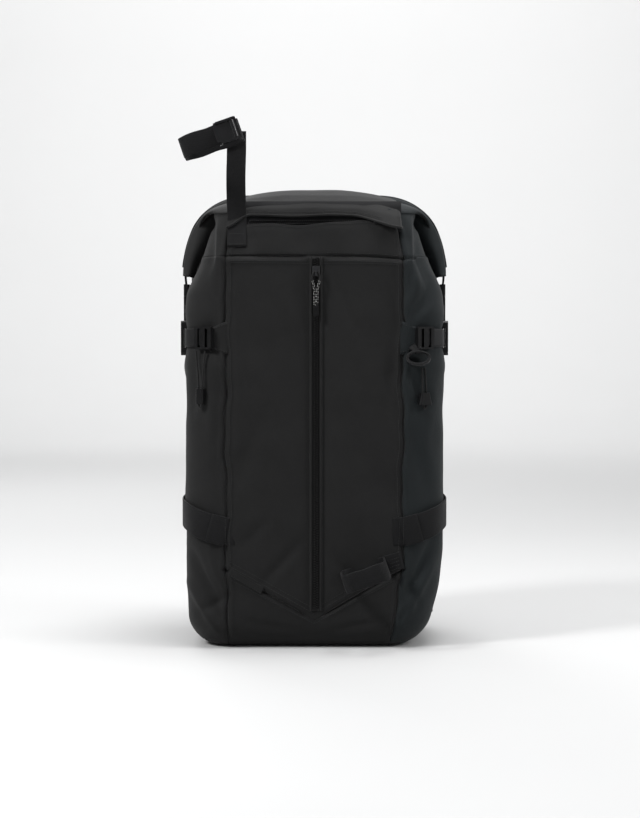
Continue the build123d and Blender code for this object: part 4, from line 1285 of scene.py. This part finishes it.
def pull_details(pull):
    """Reflective flecks of the tracer that is woven into the pull cord."""
    bare = pull.data.copy()
    bare.bevel_depth = 0
    carrier = added("route_reader", bare)
    bpy.context.view_layer.update()
    mesh = bpy.data.meshes.new_from_object(carrier.evaluated_get(bpy.context.evaluated_depsgraph_get()))
    route = resample(read(mesh.vertices), 0.0004)
    bpy.data.objects.remove(carrier)
    along = unit(np.gradient(route, axis=0))
    side = unit(np.cross(along, (0, 1, 0)))
    out = np.cross(along, side)
    flecks_vertices = []
    flecks_faces = []
    fleck = tube_faces(2, 4)
    spacing = 8
    for number, centre in enumerate(range(4, len(route) - spacing, spacing)):
        if route[centre, 2] > TRACER_TOP:
            continue
        hand = 1 if number % 2 else -1
        first = len(flecks_vertices)
        for step, angle in ((-1.4, -0.85), (1.4, 0.85)):
            place = route[centre] + along[centre] * step * 0.0004
            turn = math.pi / 2 + angle * hand
            around = side[centre] * math.cos(turn) + out[centre] * math.sin(turn)
            for radius, wide in FLECK_CORNERS:
                flecks_vertices.append(place + around * radius + along[centre] * wide)
        flecks_faces += shifted(fleck, first)
    flecks = mesh_object("cord_tracer", flecks_vertices, flecks_faces, np.zeros((len(flecks_vertices), 2)))
    dress(flecks, "tracer", "front_pull")


def top_zip():
    """Teeth of the pocket's zip under the flap, on their recessed tape."""
    low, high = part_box("top_zip_tape")
    columns = np.linspace(-0.106, 0.108, 100)
    slope = np.array([0, COLLAR_SLOPE, 1]) / math.hypot(1, COLLAR_SLOPE)
    out = np.array([0, -1, COLLAR_SLOPE]) / math.hypot(1, COLLAR_SLOPE)
    base = np.array([0, collar_face(ZIP_Z), ZIP_Z])
    rows = []
    for up in (-0.012, -0.006, 0.0, 0.006, 0.012, 0.020, 0.028):
        rows.append([base + slope * up + out * 0.0008 + np.array([x, 0, 0]) for x in columns])
    tape = sheet("pocket_tape", np.array(rows), 0.001, "lining", "pack", "top_zip_tape")
    start = base + out * 0.0016 + np.array([low.x, 0, 0])
    end = base + out * 0.0016 + np.array([high.x, 0, 0])
    coil_teeth("pocket_teeth", start, end, slope, out, "pack", 0.0026, 0.0004)


# ---------------------------------------------------------------- straps on the sides
def around_corner(lift, first, last, z, sign, count=24):
    """Points over a front corner between two angles from straight ahead, in degrees."""
    reach = FRONT_RADIUS + lift
    points = []
    for angle in np.radians(np.linspace(first, last, count)):
        x = SEAM_X + reach * math.sin(angle)
        y = FRONT_Y + FRONT_RADIUS - reach * math.cos(angle)
        points.append((sign * x, y, z))
    return points


def compression_tab(sign):
    """Sewn cloth tab that holds one compression strap, narrowing outward, with stitched edges."""
    name = side_name(sign)
    rows = []
    for share in np.linspace(0, 1, 22):
        angle = -4 + 30 * share
        half = 0.0205 - 0.0080 * np.clip((share - 0.1) / 0.7, 0, 1)
        column = []
        for up in np.linspace(-1, 1, 14):
            lift = 0.0016 + 0.0012 * (1 - up * up) * share + 0.0008 * share
            x, y, _ = around_corner(lift, angle, angle, 0, sign, 1)[0]
            column.append((x, y, STRAP_MIDDLE + up * half))
        rows.append(column)
    points = np.array(rows).transpose(1, 0, 2)
    points = facing_out(points, sign)
    sheet(f"tab_{name}", points, 0.0016, side_look(sign), "pack", *once("compression_tabs", sign))
    edges = [points[row] + [0, -0.0006, 0] for row in (1, -2)]
    stitch_line(f"tab_stitches_{name}", edges, "pack", 0.003, 0.002)


def compression_web(sign):
    """Webbing of one compression strap with its doubled end."""
    name = side_name(sign)
    low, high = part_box("compression_webs")
    width = high.z - low.z
    run = around_corner(0.0030, 22, 90, STRAP_MIDDLE, sign, 26)
    run += [(sign * (HALF_WIDTH + 0.003), y, STRAP_MIDDLE) for y in np.linspace(-0.055, 0.068, 20)]
    look = "worn_webbing" if sign > 0 else "webbing"
    nodes = once("compression_webs", sign)
    strap(f"compression_{name}", run, (0, 0, 1), width, look=look, nodes=nodes, rounds=1)
    tail = around_corner(0.0052, 30, 66, STRAP_MIDDLE + 0.001, sign, 16)
    strap(f"compression_tail_{name}", tail, (0, 0, 1), width - 0.001, look=look, rounds=1, thickness=0.0016)


def side_loop(sign):
    """Wide loop low on the side, sloping up from the seam, with its sewn fold."""
    name = side_name(sign)
    bulge = -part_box("side_loop_left")[0].x - 0.001
    corners = [(0.098, -0.1112, 0.1465), (0.112, -0.1118, 0.1470), (0.136, -0.1115, 0.1530),
               (0.153, -0.1000, 0.1600), (0.164, -0.0760, 0.1655), (bulge, -0.0500, 0.1675),
               (bulge, 0.0080, 0.1675), (0.1660, 0.0300, 0.1675), (0.1612, 0.0460, 0.1675),
               (0.1612, 0.0610, 0.1675)]
    nodes = [f"side_loop_{name}"]
    strap(f"loop_{name}", mirrored(corners, sign), (0, 0, 1), 0.035, nodes=nodes, rounds=3, thickness=0.0020)
    fold = [(0.1085, -0.1128, 0.1462), (0.120, -0.1142, 0.1490), (0.1312, -0.1138, 0.1520)]
    strap(f"loop_fold_{name}", mirrored(fold, sign), (0, 0, 1), 0.036)
    lines = []
    for x in (0.1105, 0.1130):
        lines.append([(sign * x, -0.1140, z) for z in np.linspace(0.131, 0.163, 12)])
    stitch_line(f"loop_stitches_{name}", lines, "pack", 0.0026, 0.0019)


def roll_straps():
    """Webbing from the ears to the plugs and the anchors under the sockets."""
    low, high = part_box("roll_straps")
    y = middle_of("roll_straps").y
    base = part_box("roll_sockets")[0].z
    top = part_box("roll_anchors")[1].z
    for sign in (-1, 1):
        name = side_name(sign)
        run = mirrored([(0.1650, y, low.z - 0.008), (0.1662, y, low.z), (0.1672, y, low.z + 0.012),
                        (0.1676, y, high.z)], sign)
        nodes = once("roll_straps", sign)
        strap(f"roll_strap_{name}", run, (0, 1, 0), 0.020, body="roll_top", nodes=nodes)
        anchor = mirrored([(0.1612, y, base - 0.002), (0.1616, y, base + 0.002),
                           (0.1612, y, base + 0.010), (0.1610, y, top)], sign)
        nodes = once("roll_anchors", sign)
        strap(f"roll_anchor_{name}", anchor, (0, 1, 0), 0.020, nodes=nodes, thickness=0.0014)


def strap_keeper():
    """Rolled end of the right strap: a spiral of webbing held by a short band."""
    low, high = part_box("strap_keeper_right")
    centre = np.array(middle_of("strap_keeper_right"))
    half_x = (high.x - low.x) / 2 - 0.001
    half_z = (high.z - low.z) / 2 - 0.001
    path = []
    for turn in np.linspace(0, 2 * math.pi * 1.75, 110):
        shrink = 1 - 0.10 * turn / (2 * math.pi)
        path.append(centre + np.array([half_x * shrink * math.cos(turn + 2.0), 0,
                                       half_z * shrink * math.sin(turn + 2.0)]))
    width = high.y - low.y
    tilt = (0.10, 1, -0.22)
    piece = swept("strap_roll", path, tilt, strap_section(width, 0.0015))
    dress(piece, "worn_webbing", "pack", "strap_keeper_right")
    link = [(0.1215, -0.1125, 0.3780), (0.1250, -0.1160, 0.3750), (0.1290, -0.1185, 0.3710)]
    strap("roll_link", link, (1, 0, 0.2), 0.012, thickness=0.0015)


# ---------------------------------------------------------------- ski straps
def rounded_ring(centre, half_x, half_y, radius):
    """Closed rounded rectangle in the plane of a tilted ski loop."""
    path = []
    for corner, start in (((1, 1), 0), ((-1, 1), 90), ((-1, -1), 180), ((1, -1), 270)):
        for angle in np.radians(np.linspace(start, start + 90, 14)):
            x = corner[0] * (half_x - radius) + radius * math.cos(angle)
            y = corner[1] * (half_y - radius) + radius * math.sin(angle)
            path.append((x, y))
    tilt_x = np.array([math.cos(SKI_TILT), 0, math.sin(SKI_TILT)])
    return [np.array(centre) + tilt_x * x + np.array([0, y, 0]) for x, y in path]


def ski_loop(name, node, centre, half_x, width, bow):
    """Webbing loop that holds the skis, slightly bowed between its corners."""
    low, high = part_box(node)
    half_y = (high.y - low.y) / 2 - 0.001
    across = (-math.sin(SKI_TILT), 0, math.cos(SKI_TILT))
    path = rounded_ring((centre[0], (low.y + high.y) / 2, centre[1]), half_x, half_y, 0.012)
    path = resample(path + path[:1], 0.003)[:-1]
    sag = np.array([math.sin(7 * t) for t in np.linspace(0, 2 * math.pi, len(path))])
    path = path + np.array([0, 0, 1]) * sag[:, None] * bow
    piece = swept(name, path, across, strap_section(width, 0.0021), closed_path=True)
    return dress(piece, "webbing", "pack", node)


def ski_straps():
    """Both loops, the riser behind the upper one and their bar tacks."""
    ski_loop("lower_loop", "lower_ski_strap", (0.063, 0.096), 0.028, 0.023, 0.0004)
    tail = [(0.084, -0.1122, 0.1040), (0.096, -0.1124, 0.1078), (0.1095, -0.1118, 0.1115)]
    strap("lower_tail", tail, (-0.3, 0, 1), 0.022)
    tack = [[(x, -0.1140, 0.0985 + (x - 0.096) * 0.35 + up) for x in np.linspace(0.094, 0.106, 6)]
            for up in (0.0, 0.0045, 0.009, 0.0135)]
    stitch_line("lower_tack", tack, "pack", 0.0024, 0.0018)
    ski_loop("upper_loop", "upper_ski_strap", (-0.125, 0.628), 0.037, 0.025, 0.0005)
    middle = middle_of("upper_strap_riser").x
    out = 0.0012
    riser = [(middle, collar_face(z) - out, z) for z in (0.500, 0.517, 0.534)]
    riser += [(middle - 0.001, -0.1030, 0.562), (middle - 0.001, -0.1092, 0.588),
              (middle, -0.1092, 0.615), (middle, -0.1092, 0.642)]
    strap("riser", riser, (1, 0, 0), 0.0238, nodes=["upper_strap_riser"], rounds=3, thickness=0.0019)
    box = []
    for z in (0.503, 0.516):
        box.append([(x, collar_face(z) - 0.0032, z) for x in np.linspace(middle - 0.009, middle + 0.009, 8)])
    stitch_line("riser_tack", box, "pack", 0.0026, 0.0019)


def seam_strip():
    """Tonal webbing sewn over the left end of the V seam."""
    run = [(x, FRONT_Y - 0.0022, float(v_seam(x)) + 0.001) for x in np.linspace(-0.106, -0.064, 10)]
    strap("seam_strip", run, (0.5, 0, 1), 0.010, look="shell_fabric", rounds=1, thickness=0.0009)
    lines = [[(x, FRONT_Y - 0.0029, float(v_seam(x)) + up) for x in np.linspace(-0.104, -0.066, 20)]
             for up in (-0.0035, 0.0055)]
    stitch_line("seam_strip_stitches", lines, "pack", 0.0028, 0.002)


# ---------------------------------------------------------------- padded harness
PAD_SHRINK = 0.0012                      # a pad starts this much inside its block, before it is puffed


def padded_copy(name, node, body, voxel=0.005, cap=0.006):
    """Pad puffed up by cloth simulation from its CAD block, held near that block."""
    piece = added(name, frame["nodes"][node].data.copy())
    bpy.context.view_layer.objects.active = piece
    remesh = piece.modifiers.new("remesh", "REMESH")
    remesh.mode = "VOXEL"
    remesh.voxel_size = voxel
    soften = piece.modifiers.new("soften", "SMOOTH")
    soften.factor = 0.5
    soften.iterations = 12
    graph = bpy.context.evaluated_depsgraph_get()
    solid = bpy.data.meshes.new_from_object(piece.evaluated_get(graph))
    piece.modifiers.clear()
    piece.data = solid
    start = read(solid.vertices) - read(solid.vertices, "normal") * PAD_SHRINK
    solid.vertices.foreach_set("co", start.ravel())
    puffed = simulate(piece)
    moved = puffed - start
    length = np.linalg.norm(moved, axis=1, keepdims=True)
    start = start + moved * np.minimum(1, cap / np.maximum(length, 1e-9))
    piece.data.vertices.foreach_set("co", start.ravel())
    piece.data.polygons.foreach_set("use_smooth", [True] * len(piece.data.polygons))
    piece.data.update()
    smooth = piece.modifiers.new("smooth", "SUBSURF")
    smooth.levels = 1
    smooth.render_levels = 1
    dress(piece, "pad_mesh", body, node)


PAD_FRAMES = 20
PAD_CLOTH = {"use_pressure": True, "uniform_pressure_force": 4.0, "quality": 5, "mass": 0.3,
             "tension_stiffness": 25, "compression_stiffness": 25, "bending_stiffness": 0.6}


def simulate(piece):
    """Runs cloth with inner pressure for a few frames and returns where the points end."""
    cloth = piece.modifiers.new("cloth", "CLOTH")
    for setting, value in PAD_CLOTH.items():
        setattr(cloth.settings, setting, value)
    cloth.settings.effector_weights.gravity = 0
    cloth.point_cache.frame_start = 1
    cloth.point_cache.frame_end = PAD_FRAMES
    scene = bpy.context.scene
    for number in range(1, PAD_FRAMES + 1):
        scene.frame_set(number)
    graph = bpy.context.evaluated_depsgraph_get()
    places = read(piece.evaluated_get(graph).data.vertices)
    piece.modifiers.clear()
    scene.frame_set(1)
    return places


def harness():
    """Pads, shoulder straps and hip wings on the wearer's side."""
    padded_copy("spine_pads", "back_pads", "pack")
    padded_copy("lumbar_cushion", "lumbar_pad", "pack", cap=0.005)
    for side in ("left", "right"):
        padded_copy(f"shoulder_{side}", f"shoulder_strap_{side}", "pack", voxel=0.0045, cap=0.003)
        padded_copy(f"hip_pad_{side}", f"hip_wing_{side}", f"hip_{side}", voxel=0.0045, cap=0.0025)


def harness_webbing():
    """Lower straps and load lifters."""
    for sign in (-1, 1):
        name = side_name(sign)
        lower = mirrored([(0.0812, 0.1462, 0.2070), (0.0925, 0.1300, 0.1850), (0.1040, 0.1135, 0.1630)], sign)
        nodes = once("strap_webs", sign)
        strap(f"lower_strap_{name}", lower, (1, 0, 0), 0.020, nodes=nodes)
        lifter = mirrored([(0.062, 0.1500, 0.5090), (0.062, 0.1290, 0.5205), (0.062, 0.1080, 0.5320)], sign)
        nodes = once("load_lifters", sign)
        strap(f"lifter_{name}", lifter, (1, 0, 0), 0.018, nodes=nodes)


def haul_loop():
    """Arched webbing handle at the top of the back."""
    low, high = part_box("haul_loop")
    y = middle_of("haul_loop").y
    half_arch = [(0.0295, y, low.z), (0.0295, y, 0.494), (0.0225, y, 0.5095)]
    arch = mirrored(half_arch, -1) + [(0, y, 0.5135)] + half_arch[::-1]
    strap("haul_webbing", arch, (0, 1, 0), high.y - low.y, "haul", nodes=["haul_loop"], rounds=3,
          thickness=0.0026)


def chest_webbing():
    """Both halves of the chest strap, slightly bowed."""
    _, y, z = middle_of("sternum_webs")
    left = [(-0.0620, y, z), (-0.0420, y + 0.0006, z), (-0.0240, y, z)]
    right = [(0.0300, y, z), (0.0450, y + 0.0006, z), (0.0620, y, z)]
    strap("chest_left", left, (0, 0, 1), 0.018, body="chest_strap", nodes=["sternum_webs"])
    strap("chest_right", right, (0, 0, 1), 0.018, body="chest_strap")


# ---------------------------------------------------------------- carried-over CAD nodes
def dress_nodes():
    """Procedural materials and flat shading on the CAD nodes that stay as they are."""
    slots = {entry["node"]: entry["material_slot"] for entry in frame["record"]["subparts"]}
    for name, piece in frame["nodes"].items():
        if piece.hide_render:
            continue
        piece.data.materials.clear()
        piece.data.materials.append(LOOK[slots[name]])
        for polygon in piece.data.polygons:
            polygon.use_smooth = False


camera()
free_cords = cords()
studio()
body_grid = body_skin()
divider()
collar_skin(body_grid)
hood_skin()
hood_ring()
roll()
roll_inside_and_hem()
for side_sign in (-1, 1):
    ear(side_sign)
    ear_gusset(side_sign)
    ear_face(side_sign)
    cheek(side_sign)
    compression_tab(side_sign)
    compression_web(side_sign)
    side_loop(side_sign)
front_zip()
pull_details(free_cords["front_cord"])
top_zip()
roll_straps()
strap_keeper()
ski_straps()
seam_strip()
harness()
harness_webbing()
haul_loop()
chest_webbing()
dress_nodes()
